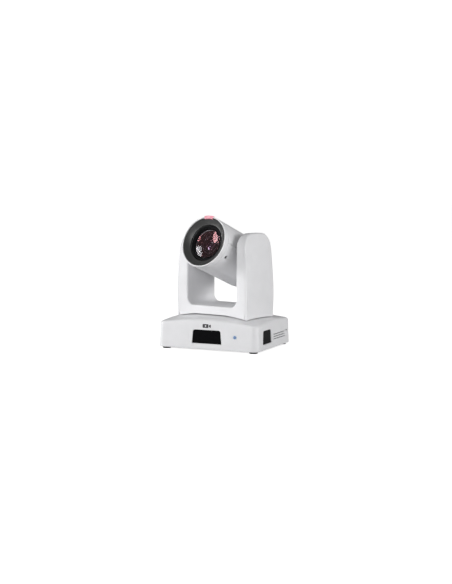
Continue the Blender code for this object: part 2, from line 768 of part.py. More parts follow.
def arm_cover(name, sign, low, yoke):
    """The shallow dish that closes an arm's outer side."""
    outline = arm_outline(0, low)
    slimmer = arm_outline(COVER_TOP_EDGE, low)
    shallow = COVER_THICKNESS - GAP
    rings = []
    inside = arm_outline(YOKE_WALL, low + YOKE_WALL)
    deep = YOKE_WALL
    rings.append([(sign * (arm_outer(z) - deep), y, z) for y, z in inside])
    rings.append([(sign * (arm_outer(z) - shallow), y, z) for y, z in inside])
    rings.append([(sign * (arm_outer(z) - shallow), y, z) for y, z in outline])
    for turn in (0, 0.4, 1):
        ring = []
        for (y, z), (slim_y, slim_z) in zip(outline, slimmer):
            edge = min(cover_edge(z), shallow)
            share = cover_edge(z) / COVER_TOP_EDGE * (1 - math.cos(turn * math.pi / 2))
            place_y = y + (slim_y - y) * share
            place_z = z + (slim_z - z) * share
            ring.append((sign * (arm_outer(z) - edge * (1 - math.sin(turn * math.pi / 2))), place_y, place_z))
        rings.append(ring)
    cover = finished(name, loft(rings, ladder=True), "white_plastic", yoke, 28)
    boolean(cover, cutter(f"cut_{name}", roof_shadow(), yoke))
    return cover


def roof_shadow():
    """Everything below the yoke's skirt: the roof's shape, raised by the running gap."""
    radii = (ROOF_FLAT_RADIUS, 130 * MM)
    profile = [(radius, roof_height(radius, 0) + SKIRT_GAP) for radius in radii]
    return lathe([(0, 0), (radii[-1], 0), *reversed(profile), (0, profile[0][1])], "Z", 40)


def cross_block(drop, half_depth, edge, low):
    """The cross-piece with its fillets into the arms, lowered by drop, its long upper edges rounded
    by edge."""
    into_arm = 0.05 * MM
    radius = YOKE_CORNER + drop
    up = YOKE_FLOOR - drop + radius
    right = arc((YOKE_INNER + drop + into_arm - radius, up), radius, -math.pi / 2, 0, 6)
    right.append((YOKE_INNER + drop + 1.5 * MM, up))
    line = [(-x, z) for x, z in reversed(right)] + right
    turns = [step * math.pi / 4 for step in range(3)] if edge else [math.pi / 2]
    rows = [(edge * (1 - math.cos(turn)) - half_depth, edge * (1 - math.sin(turn))) for turn in turns]
    rows += [(-y, lowered) for y, lowered in reversed(rows)]
    rings = []
    for y, lowered in rows:
        ring = [(x, y, z - lowered) for x, z in line]
        rings.append([*ring, (line[-1][0], y, low), (line[0][0], y, low)])
    return loft(rings)


def turntable_bottom():
    return ROOF_TOP + SKIRT_GAP + 0.8 * MM


def build_yoke(yoke):
    low = YOKE_FOOT
    right_arm = arm_block(1, YOKE_INNER, COVER_THICKNESS, 0, low)
    shell = finished("yoke_shell", right_arm, "white_plastic", yoke, 28)
    boolean(shell, cutter("left_arm", arm_block(-1, YOKE_INNER, COVER_THICKNESS, 0, low), yoke), "UNION")
    cross = cross_block(0, YOKE_HALF_DEPTH - 0.9 * MM, YOKE_EDGE, low)
    boolean(shell, cutter("cross_piece", cross, yoke), "UNION")
    for sign, label in ((1, "right"), (-1, "left")):
        boolean(shell, cutter(f"pocket_{label}", arm_pocket(sign, low - 1 * MM), yoke))
    hollow = cross_block(YOKE_WALL, YOKE_HALF_DEPTH - 0.9 * MM - YOKE_WALL, 0, low - 1 * MM)
    boolean(shell, cutter("cross_hollow", hollow, yoke))
    boolean(shell, cutter("cut_skirt", roof_shadow(), yoke))
    plate = block(
        (-62 * MM, -34 * MM, turntable_bottom()), (62 * MM, 34 * MM, turntable_bottom() + TURNTABLE_THICKNESS)
    )
    turntable = finished("turntable", plate, "aluminium", yoke)
    boolean(turntable, cutter("cut_turntable", rod(SHAFT_BORE, "Z", 0, YOKE_TOP, 28), yoke))
    for sign, label in ((1, "right"), (-1, "left")):
        arm_cover(f"{label}_arm_cover", sign, low, yoke)
        build_tilt_bearing(shell, sign, label, yoke)


# ---------------------------------------------------------------- tilt drive, measured along the tilt axis


def tilt_bearing_start():
    return YOKE_INNER + YOKE_WALL + GAP


def tilt_race_outer():
    return TILT_SHAFT_RADIUS + GAP + TILT_BEARING_RING


def build_tilt_bearing(shell, sign, label, yoke):
    """The hole and seat in an arm's inner wall, and the bearing in it."""
    centre = (0, 0, TILT_Z)
    seat = tilt_race_outer() + GAP
    start = tilt_bearing_start()
    end = start + BEARING_HEIGHT

    def along(first, second):
        return sorted((sign * first, sign * second))

    collar = tube(seat + 2 * MM, seat, "X", *along(start - 1 * MM, end), 24, centre)
    boolean(shell, cutter(f"seat_{label}", collar, yoke), "UNION")
    hole = rod(TILT_SHAFT_RADIUS + 1.5 * MM, "X", *along(YOKE_INNER - 1 * MM, start + 1 * MM), 24, centre)
    boolean(shell, cutter(f"cut_{label}_hub", hole, yoke))
    ring = tube(tilt_race_outer(), TILT_SHAFT_RADIUS + GAP, "X", *along(start, end), 24, centre)
    finished(f"{label}_tilt_bearing", ring, "steel", yoke)


def build_tilt_hub(sign, label, head):
    """The hub bolted to the head's frame, with its hollow shaft through the arm."""
    end = tilt_bearing_start() + BEARING_HEIGHT
    flange = FRAME_SIDE + FRAME_WALL + GAP
    stop = pulley_start() + PULLEY_WIDTH + 0.5 * MM if sign > 0 else end + 1 * MM
    profile = [
        (HUB_BORE, flange),
        (HUB_FLANGE_RADIUS, flange),
        (HUB_FLANGE_RADIUS, flange + HUB_FLANGE),
        (COLLAR_RADIUS, flange + HUB_FLANGE),
        (COLLAR_RADIUS, YOKE_INNER - 0.6 * MM),
        (TILT_SHAFT_RADIUS, YOKE_INNER - 0.6 * MM),
        (TILT_SHAFT_RADIUS, stop),
        (HUB_BORE, stop),
    ]
    turned = [(radius, sign * along) for radius, along in profile]
    finished(f"{label}_tilt_hub", lathe(turned, "X", 24), "black_plastic", head)


def pulley_start():
    return tilt_bearing_start() + BEARING_HEIGHT + 1.3 * MM


def build_tilt_drive(yoke, head):
    """The big pulley on the right hub, the small one on the motor, and the belt round both."""
    low = pulley_start()
    high = low + PULLEY_WIDTH
    big = tube(PULLEY_RADIUS, TILT_SHAFT_RADIUS + GAP, "X", low, high, 24)
    finished("tilt_pulley", big, "acetal", head)
    small = rod(MOTOR_PULLEY_RADIUS, "X", low, high, 16)
    pulley = finished("tilt_motor_pulley", small, "brass", yoke)
    pulley.location = (0, 0, TILT_MOTOR_Z)
    motor_end = low - TILT_MOTOR_CLEARANCE
    spindle = rod(1.5 * MM, "X", motor_end + GAP, low + 1 * MM, 10)
    boolean(pulley, cutter("tilt_spindle", spindle, pulley), "UNION")
    motor = rod(MOTOR_RADIUS, "X", YOKE_INNER + YOKE_WALL + GAP, motor_end, 24, (0, 0, TILT_MOTOR_Z))
    finished("tilt_motor", motor, "steel", yoke)
    inside = belt_outline(GAP)
    outside = belt_outline(GAP + BELT_THICKNESS)
    rings = []
    for x, outline in ((low, inside), (low, outside), (high, outside), (high, inside)):
        rings.append([(x, y, z) for y, z in outline])
    finished("tilt_belt", loft(rings, closed=True), "rubber", yoke)


def belt_outline(away):
    """The belt's path round both pulleys in (depth, height), a distance away from their rims."""
    span = TILT_Z - TILT_MOTOR_Z
    lean = math.asin((PULLEY_RADIUS - MOTOR_PULLEY_RADIUS) / span)
    upper = arc((0, TILT_Z), PULLEY_RADIUS + away, -lean, math.pi + lean, 14)
    lower = arc((0, TILT_MOTOR_Z), MOTOR_PULLEY_RADIUS + away, math.pi + lean, 2 * math.pi - lean, 8)
    return upper + lower


# ---------------------------------------------------------------- head, measured from the tilt axis


def head_shell():
    """The whole skin behind the front ring, as one cup."""
    front = RING_LENGTH - HEAD_FRONT + GAP
    round_centre = (HEAD_RADIUS - HEAD_REAR_ROUND, HEAD_REAR - HEAD_REAR_ROUND)
    outer = [(HEAD_RADIUS, front), *arc(round_centre, HEAD_REAR_ROUND, 0, math.pi / 2, 4), (0, HEAD_REAR)]
    inside = arc(round_centre, HEAD_REAR_ROUND - HEAD_WALL, 0, math.pi / 2, 4)
    inner = [(0, HEAD_REAR - HEAD_WALL), *reversed(inside), (HEAD_RADIUS - HEAD_WALL, front)]
    return lathe(outer + inner, "Y", 40)


def build_head_covers(head):
    reach = 2 * HEAD_REAR
    for name, sign in (("upper", 1), ("lower", -1)):
        cover = finished(f"head_{name}_cover", head_shell(), "white_plastic", head)
        edge = COVER_SEAM + sign * GAP / 2
        low, high = sorted((edge, edge - sign * reach))
        boolean(cover, cutter(f"cut_{name}", block((-reach, -reach, low), (reach, reach, high)), head))
        hole = rod(COLLAR_RADIUS + GAP, "X", -reach, reach, 28)
        boolean(cover, cutter(f"cut_{name}_hubs", hole, head))
        if sign < 0:
            build_head_screws(cover, head)


def build_head_screws(cover, head):
    """A screw low on each side, sunk in the lower cover."""
    for sign, label in ((1, "right"), (-1, "left")):
        turn = Matrix.Rotation(-SCREW_ANGLE * sign, 4, "Y")
        reach = sorted((sign * HEAD_RADIUS / 2, sign * 2 * HEAD_RADIUS))
        hole = rod(SCREW_HEAD_RADIUS + GAP, "X", *reach, 12)
        bore = cutter(f"bore_{label}_screw", hole, head)
        depths = sorted((sign * (HEAD_RADIUS - 7 * MM), sign * (HEAD_RADIUS - SCREW_SUNK)))
        screw = rod(SCREW_HEAD_RADIUS, "X", *depths, 12)
        made = finished(f"head_screw_{label}", screw, "steel", head)
        for item in (bore, made):
            item.data.transform(Matrix.Translation((0, -SCREW_STATION, 0)) @ turn)
        boolean(cover, bore)


def build_front(head):
    """The front ring with its rim, the dark hood inside it, and the lamp let into its top."""
    front = -HEAD_FRONT
    edge = 0.8 * MM
    inner = HEAD_RADIUS - RIM
    rear = front + RING_LENGTH
    profile = [(HEAD_RADIUS, rear), (HEAD_RADIUS, front + edge), (HEAD_RADIUS - edge, front)]
    profile += [(inner, front), (inner, rear)]
    ring = finished("front_trim_ring", lathe(profile, "Y", 40), "white_plastic", head)
    outer = inner - GAP
    lip = front + BEZEL_LIP
    throat_end = -BARREL_FRONT + 3 * MM
    hood = [
        (outer, lip + 3 * MM),
        (outer, lip),
        (outer - 0.6 * MM, lip - 0.6 * MM),
        (BEZEL_THROAT + 0.5 * MM, front + BEZEL_DEPTH),
        (BEZEL_THROAT, front + BEZEL_DEPTH + 0.6 * MM),
        (BEZEL_THROAT, throat_end),
        (BEZEL_THROAT + 2 * MM, throat_end),
        (BEZEL_THROAT + 2 * MM, front + BEZEL_DEPTH + 3 * MM),
    ]
    bezel = finished("lens_hood", lathe(hood, "Y", 40), "bezel_black", head)
    half = math.asin(TALLY_WIDTH / 2 / HEAD_RADIUS)
    top = HEAD_RADIUS + TALLY_PROUD
    below = HEAD_RADIUS - TALLY_SUNK
    lamp_rear = front + TALLY_LENGTH
    sector = arc((0, 0), top, math.pi / 2 - half, math.pi / 2 + half, 5)
    sector += arc((0, 0), below, math.pi / 2 + half, math.pi / 2 - half, 5)
    finished("tally_lamp", prism(sector, "Y", front - 0.3 * MM, lamp_rear), "tally_red", head)
    wide = half + GAP / below
    notch = arc((0, 0), top + 1 * MM, math.pi / 2 - wide, math.pi / 2 + wide, 5)
    notch += arc((0, 0), below - GAP, math.pi / 2 + wide, math.pi / 2 - wide, 5)
    for target in (ring, bezel):
        room = prism(notch, "Y", front - 1 * MM, lamp_rear + GAP)
        boolean(target, cutter(f"notch_{target.name}", room, head))


def lens(name, radius, y, front_bulge, rear_bulge, edge, head, finish="lens_glass"):
    """A glass element centred on the optical axis; its rim starts at y and runs back by edge."""
    steps = 3
    profile = []
    for step in range(steps + 1):
        out = radius * step / steps
        profile.append((out, y - front_bulge * (1 - (out / radius) ** 2)))
    for step in range(steps, -1, -1):
        out = radius * step / steps
        profile.append((out, y + edge + rear_bulge * (1 - (out / radius) ** 2)))
    return finished(name, lathe(profile, "Y", 24), finish, head)


def barrel_bore():
    return BARREL_RADIUS - BARREL_WALL


def build_lens(head):
    """The fixed barrel with its front element, baffle and sensor, and the zoom and focus cells."""
    bore = barrel_bore()
    barrel = tube(BARREL_RADIUS, bore, "Y", -BARREL_FRONT, BARREL_REAR, 28)
    finished("lens_barrel", barrel, "black_plastic", head)
    fit = bore - GAP
    lens_rim = -BARREL_FRONT + LENS_SETBACK
    lens("front_lens", fit, lens_rim, LENS_DOME, -1.2 * MM, LENS_EDGE, head)
    baffle_front = lens_rim + LENS_EDGE + GAP
    baffle = [
        (fit, baffle_front),
        (fit, baffle_front + BAFFLE_DEPTH),
        (BAFFLE_RADIUS, baffle_front + BAFFLE_DEPTH),
        (BAFFLE_RADIUS, baffle_front + 3 * MM),
        (fit - 2 * MM, baffle_front),
    ]
    finished("lens_baffle", lathe(baffle, "Y", 28), "black_plastic", head)
    cells = {"zoom": zoom_station(), "focus": focus_station()}
    for name, station in cells.items():
        cell = [
            (bore - 0.5 * MM, 0),
            (bore - 0.5 * MM, CELL_LENGTH),
            (bore - 2.5 * MM, CELL_LENGTH),
            (bore - 2.5 * MM, 2 * MM),
            (CELL_LENS_RADIUS + GAP, 2 * MM),
            (CELL_LENS_RADIUS + GAP, 0),
        ]
        made = finished(f"{name}_cell", lathe(cell, "Y", 24), "black_plastic", head)
        made.location = (0, station, 0)
        glass = lens(f"{name}_lens", CELL_LENS_RADIUS, -0.5 * MM, 1.5 * MM, 1.5 * MM, 3 * MM, head)
        glass.location = (0, station, 0)
    sensor_front = BARREL_REAR + GAP
    half = SENSOR_BOARD_HALF
    board_front = sensor_front + 2 * MM
    board = block((-half, board_front, -half), (half, board_front + BOARD_THICKNESS, half))
    finished("sensor_board", board, "board_green", head)
    chip = block((-5 * MM, sensor_front, -4 * MM), (5 * MM, board_front - GAP, 4 * MM))
    finished("image_sensor", chip, "smoked_window", head)


def zoom_station():
    """The zoom cell's front at rest, behind the baffle with its travel to the front free."""
    return -BARREL_FRONT + LENS_SETBACK + LENS_EDGE + 2 * GAP + BAFFLE_DEPTH + CELL_CLEARANCE


def focus_station():
    return zoom_station() + CELL_LENGTH + ZOOM_TRAVEL + FOCUS_TRAVEL + 3 * MM


def build_head_frame(head):
    """A ring round the barrel with a flat pad at each side for the hubs."""
    inner = BARREL_RADIUS + GAP
    ring = tube(inner + FRAME_WALL, inner, "Y", -FRAME_HALF_LENGTH, FRAME_HALF_LENGTH, 28)
    frame = finished("head_frame", ring, "aluminium", head)
    for sign, label in ((1, "right"), (-1, "left")):
        low, high = sorted((sign * FRAME_SIDE, sign * (FRAME_SIDE + FRAME_WALL)))
        near = (low, -FRAME_HALF_LENGTH, -FRAME_HALF_HEIGHT)
        pad = block(near, (high, FRAME_HALF_LENGTH, FRAME_HALF_HEIGHT))
        boolean(frame, cutter(f"pad_{label}", pad, head), "UNION")


# ---------------------------------------------------------------- whole


def build_part():
    clear_scene()
    build_base_housing()
    build_base_plate()
    build_tripod_insert()
    build_windows()
    build_rear_bay()
    build_chassis()
    build_main_board()
    yoke = empty("pan_axis", (0, 0, 0), (0, 0, REST_PAN))
    head = empty("tilt_axis", (0, 0, TILT_Z), (-REST_TILT, 0, 0), yoke)
    build_pan_drive(yoke)
    build_yoke(yoke)
    for sign, label in ((1, "right"), (-1, "left")):
        build_tilt_hub(sign, label, head)
    build_tilt_drive(yoke, head)
    build_head_covers(head)
    build_front(head)
    build_lens(head)
    build_head_frame(head)


build_part()
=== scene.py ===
"""Looks of a desktop pan-tilt-zoom camera: skins, optics, sockets, finishes, floor, lights, viewpoint."""

import json
import logging
import math
from collections.abc import Callable, Sequence
from dataclasses import dataclass
from enum import Enum

import bmesh
import bpy
from mathutils import Matrix, Vector


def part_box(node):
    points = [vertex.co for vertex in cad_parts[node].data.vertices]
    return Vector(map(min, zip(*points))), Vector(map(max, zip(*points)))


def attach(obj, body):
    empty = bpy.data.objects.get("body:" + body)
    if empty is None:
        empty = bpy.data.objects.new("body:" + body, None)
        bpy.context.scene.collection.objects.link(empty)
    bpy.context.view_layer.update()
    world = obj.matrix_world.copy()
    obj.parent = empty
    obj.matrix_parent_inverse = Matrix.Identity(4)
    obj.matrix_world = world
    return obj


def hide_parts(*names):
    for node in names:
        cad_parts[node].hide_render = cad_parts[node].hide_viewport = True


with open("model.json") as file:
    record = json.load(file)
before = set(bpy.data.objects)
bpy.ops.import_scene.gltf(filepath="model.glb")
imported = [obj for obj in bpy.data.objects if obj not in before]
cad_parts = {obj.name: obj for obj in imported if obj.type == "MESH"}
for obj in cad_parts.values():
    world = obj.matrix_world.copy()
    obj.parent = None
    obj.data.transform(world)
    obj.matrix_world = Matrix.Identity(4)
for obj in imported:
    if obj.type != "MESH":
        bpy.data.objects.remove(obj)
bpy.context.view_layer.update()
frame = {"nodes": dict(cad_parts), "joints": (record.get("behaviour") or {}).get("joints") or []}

LOG = logging.getLogger("ptz")
MM = 0.001
HAIR = 0.3 * MM  # the gap between touching pieces

Point2 = tuple[float, float]
Point3 = tuple[float, float, float]
Ring = Sequence[Sequence[float]]


# ---- named choices


class Side(Enum):
    """A side of the camera, as the sign of X."""

    RIGHT = 1
    LEFT = -1

    @property
    def word(self) -> str:
        """The side's name in node names."""
        return self.name.lower()

    def span(self, first: float, second: float) -> tuple[float, float]:
        """Two distances from the middle plane, mirrored to this side and put in rising order.

        Args:
            first: One distance from the middle plane.
            second: The other distance.

        Returns:
            The lower and the higher coordinate.
        """
        low, high = sorted((self.value * first, self.value * second))
        return low, high


class Effect(Enum):
    """The shared shader effects, by the name of their node group."""

    GRAIN = "Moulded grain"
    EDGES = "Edge wear"
    DUST = "Settled dust"
    CLOUD = "Handling marks"


class Slot(Enum):
    """The record's material slots; each finish names one."""

    WHITE = "white_plastic"
    BLACK = "black_plastic"
    HOOD = "bezel_black"
    WINDOW = "smoked_window"
    GLASS = "lens_glass"
    TALLY = "tally_red"
    LED = "led_blue"
    RUBBER = "rubber"
    STEEL = "steel"
    ALUMINIUM = "aluminium"
    BRASS = "brass"
    BOARD = "board_green"
    PORT = "port_black"
    ACETAL = "acetal"


# ---- shapes


def arc(centre: Point2, radius: float, first: float, last: float, steps: int) -> list[Point2]:
    """Points of an arc, both ends included.

    Args:
        centre: The arc's centre.
        radius: Its radius.
        first: The angle of its first point, in radians.
        last: The angle of its last point.
        steps: How many straight runs stand for it.

    Returns:
        The points in order.
    """
    angles = [first + (last - first) * step / steps for step in range(steps + 1)]
    return [(centre[0] + radius * math.cos(a), centre[1] + radius * math.sin(a)) for a in angles]


def blended(low: float, high: float, share: float) -> float:
    """The value a share of the way from low to high."""
    return low + (high - low) * share


def loft(rings: Sequence[Ring], closed: bool = False, ladder: bool = False) -> bmesh.types.BMesh:
    """A solid skinned over rings of equally many points.

    Args:
        rings: The rings in order.
        closed: Joins the last ring to the first in place of capping the ends.
        ladder: Caps each end by joining each point to its mirror across the ring, for ends that aren't flat.

    Returns:
        The solid's mesh.
    """
    bm = bmesh.new()
    rows = [[bm.verts.new(point) for point in ring] for ring in rings]
    count = len(rows[0])
    pairs = list(zip(rows, rows[1:]))
    if closed:
        pairs.append((rows[-1], rows[0]))
    for lower, upper in pairs:
        for i in range(count):
            j = (i + 1) % count
            bm.faces.new((lower[i], lower[j], upper[j], upper[i]))
    if closed:
        return bm
    if ladder:
        for row in (rows[0], rows[-1]):
            for i in range(count // 2 - 1):
                bm.faces.new((row[i], row[i + 1], row[count - 2 - i], row[count - 1 - i]))
        return bm
    bm.faces.new(reversed(rows[0]))
    bm.faces.new(rows[-1])
    return bm


def prism(outline: Sequence[Point2], axis: str, low: float, high: float) -> bmesh.types.BMesh:
    """An outline extruded along an axis.

    Args:
        outline: Points in the plane across the axis; the other two axes keep their X, Y, Z order.
        axis: X, Y or Z.
        low: Where the solid starts along the axis.
        high: Where it ends.

    Returns:
        The solid's mesh.
    """
    places = [index for index in range(3) if index != "XYZ".index(axis)]
    rings = []
    for level in (low, high):
        ring = []
        for point in outline:
            place = [level] * 3
            place[places[0]], place[places[1]] = point
            ring.append(tuple(place))
        rings.append(ring)
    return loft(rings)


def block(low: Point3, high: Point3) -> bmesh.types.BMesh:
    """A box between two corners."""
    outline = [(low[0], low[1]), (high[0], low[1]), (high[0], high[1]), (low[0], high[1])]
    return prism(outline, "Z", low[2], high[2])


def lathe(
    profile: Sequence[Point2], axis: str, segments: int, centre: Point3 = (0, 0, 0)
) -> bmesh.types.BMesh:
    """A closed profile turned about an axis.

    Args:
        profile: Points of (radius, distance along the axis); a radius of 0 puts a point on the axis.
        axis: X, Y or Z.
        segments: How many steps make a turn.
        centre: A point on the axis.

    Returns:
        The solid's mesh.
    """
    first_side, second_side, along_axis = {"X": (1, 2, 0), "Y": (2, 0, 1), "Z": (0, 1, 2)}[axis]
    bm = bmesh.new()
    rows = []
    for radius, along in profile:
        row = []
        for step in range(segments if radius else 1):
            angle = 2 * math.pi * step / segments
            place = [0.0] * 3
            place[first_side] = radius * math.cos(angle)
            place[second_side] = radius * math.sin(angle)
            place[along_axis] = along
            row.append(bm.verts.new(Vector(place) + Vector(centre)))
        rows.append(row)
    for first, second in zip(rows, rows[1:] + rows[:1]):
        if len(first) == len(second) == 1:
            continue
        for i in range(segments):
            j = (i + 1) % segments
            corners = [
                first[i % len(first)], first[j % len(first)],
                second[j % len(second)], second[i % len(second)],
            ]
            bm.faces.new(list(dict.fromkeys(corners)))
    return bm


def rod(
    radius: float, axis: str, low: float, high: float, segments: int, centre: Point3 = (0, 0, 0)
) -> bmesh.types.BMesh:
    """A plain round rod along an axis through centre."""
    return lathe([(0, low), (radius, low), (radius, high), (0, high)], axis, segments, centre)


def tube(
    outer: float, inner: float, axis: str, low: float, high: float, segments: int, centre: Point3 = (0, 0, 0)
) -> bmesh.types.BMesh:
    """A plain round tube along an axis through centre."""
    return lathe([(outer, low), (outer, high), (inner, high), (inner, low)], axis, segments, centre)


def rounded_rectangle(
    half_width: float, half_depth: float, radius: float, steps: int, straight: tuple[int, int] = (0, 0)
) -> list[Point2]:
    """A rectangle with round corners.

    Args:
        half_width: Half its size along the first axis.
        half_depth: Half its size along the second.
        radius: The corners' radius.
        steps: Straight runs in each corner.
        straight: Extra points on the width's and on the depth's sides.

    Returns:
        The outline's points, anticlockwise.
    """
    signs = [(1, 1), (-1, 1), (-1, -1), (1, -1)]
    points: list[Point2] = []
    for turn, (sx, sy) in enumerate(signs):
        centre = (sx * (half_width - radius), sy * (half_depth - radius))
        quarter = arc(centre, radius, turn * math.pi / 2, (turn + 1) * math.pi / 2, steps)
        nx, ny = signs[(turn + 1) % 4]
        following = (nx * (half_width - radius), ny * (half_depth - radius))
        start = arc(following, radius, (turn + 1) * math.pi / 2, (turn + 2) * math.pi / 2, 1)[0]
        extra = straight[turn % 2]
        points += quarter
        for k in range(extra):
            share = (k + 1) / (extra + 1)
            points.append(
                (blended(quarter[-1][0], start[0], share), blended(quarter[-1][1], start[1], share))
            )
    return points


def evaluated_mesh(obj: bpy.types.Object) -> bpy.types.Mesh:
    """A new mesh that holds an object's shape with its modifiers."""
    graph = bpy.context.evaluated_depsgraph_get()
    return bpy.data.meshes.new_from_object(obj.evaluated_get(graph), depsgraph=graph)


@dataclass
class Solid:
    """A solid in the making, which can be cut and joined before it becomes a piece."""

    bm: bmesh.types.BMesh

    def __post_init__(self) -> None:
        """Turns the faces outwards."""
        bmesh.ops.recalc_face_normals(self.bm, faces=self.bm.faces)
        if self.bm.calc_volume(signed=True) < 0:
            bmesh.ops.reverse_faces(self.bm, faces=self.bm.faces)

    def moved(self, matrix: Matrix) -> "Solid":
        """This solid, with a matrix applied to it."""
        self.bm.transform(matrix)
        return self

    def _scratch(self, name: str) -> bpy.types.Object:
        """A scratch object that holds the solid.

        Args:
            name: Its name.

        Returns:
            The object, linked to the scene.
        """
        mesh = bpy.data.meshes.new(name)
        self.bm.to_mesh(mesh)
        made = bpy.data.objects.new(name, mesh)
        bpy.context.scene.collection.objects.link(made)
        return made

    def _combine(self, others: Sequence["Solid"], operation: str) -> "Solid":
        """This solid after an exact boolean with each of the others.

        Args:
            others: The solids to cut away or to join.
            operation: DIFFERENCE, UNION or INTERSECT.

        Returns:
            This solid.
        """
        target = self._scratch("scratch_target")
        tools = [other._scratch("scratch_tool") for other in others]
        for tool in tools:
            modifier = target.modifiers.new("combine", "BOOLEAN")
            modifier.operation = operation
            modifier.solver = "EXACT"
            modifier.object = tool
        mesh = evaluated_mesh(target)
        self.bm.clear()
        self.bm.from_mesh(mesh)
        for used in (target, *tools):
            data = used.data
            bpy.data.objects.remove(used)
            bpy.data.meshes.remove(data)
        bpy.data.meshes.remove(mesh)
        for other in others:
            other.bm.free()
        return self

    def cut(self, *others: "Solid") -> "Solid":
        """This solid with the others cut away."""
        return self._combine(others, "DIFFERENCE")

    def join(self, *others: "Solid") -> "Solid":
        """This solid with the others joined to it."""
        return self._combine(others, "UNION")


# ---- shader graphs and shared effects


class Graph:
    """A node tree with short calls for adding and linking nodes."""

    def __init__(self, tree: bpy.types.NodeTree) -> None:
        """Holds the tree.

        Args:
            tree: The material's or the group's node tree.
        """
        self.tree = tree

    def add(self, kind: str, inputs: dict | None = None, **settings: object) -> bpy.types.Node:
        """Adds a node.

        Args:
            kind: The node's class name.
            inputs: Socket name or index to a constant or to the output socket that feeds it.
            **settings: The node's own properties.

        Returns:
            The new node.
        """
        node = self.tree.nodes.new(kind)
        for key, value in settings.items():
            setattr(node, key, value)
        for key, value in (inputs or {}).items():
            self.feed(node.inputs[key], value)
        return node

    def feed(self, socket: bpy.types.NodeSocket, value: object) -> None:
        """Sets a socket to a constant, or links an output socket to it.

        Args:
            socket: The input.
            value: What it gets.
        """
        if isinstance(value, bpy.types.NodeSocket):
            self.tree.links.new(value, socket)
        else:
            socket.default_value = value

    def math(
        self, operation: str, first: object, second: object = 0.0, clamp: bool = False
    ) -> bpy.types.NodeSocket:
        """The result of a Math node.

        Args:
            operation: The node's operation.
            first: Its first value, a constant or a socket.
            second: Its second value.
            clamp: Keeps the result between 0 and 1.

        Returns:
            The node's output socket.
        """
        node = self.add("ShaderNodeMath", {0: first, 1: second}, operation=operation, use_clamp=clamp)
        return node.outputs[0]

    def span(
        self, value: object, low: object, high: object, source: Point2 = (0.0, 1.0)
    ) -> bpy.types.NodeSocket:
        """A value mapped from its source range onto low to high, and held there."""
        inputs = {"Value": value, "From Min": source[0], "From Max": source[1], "To Min": low, "To Max": high}
        return self.add("ShaderNodeMapRange", inputs).outputs[0]

    def tint(self, share: object, first: object, second: object) -> bpy.types.NodeSocket:
        """A colour mixed from first to second by share."""
        node = self.add("ShaderNodeMix", {0: share, 6: first, 7: second}, data_type="RGBA")
        return node.outputs[2]


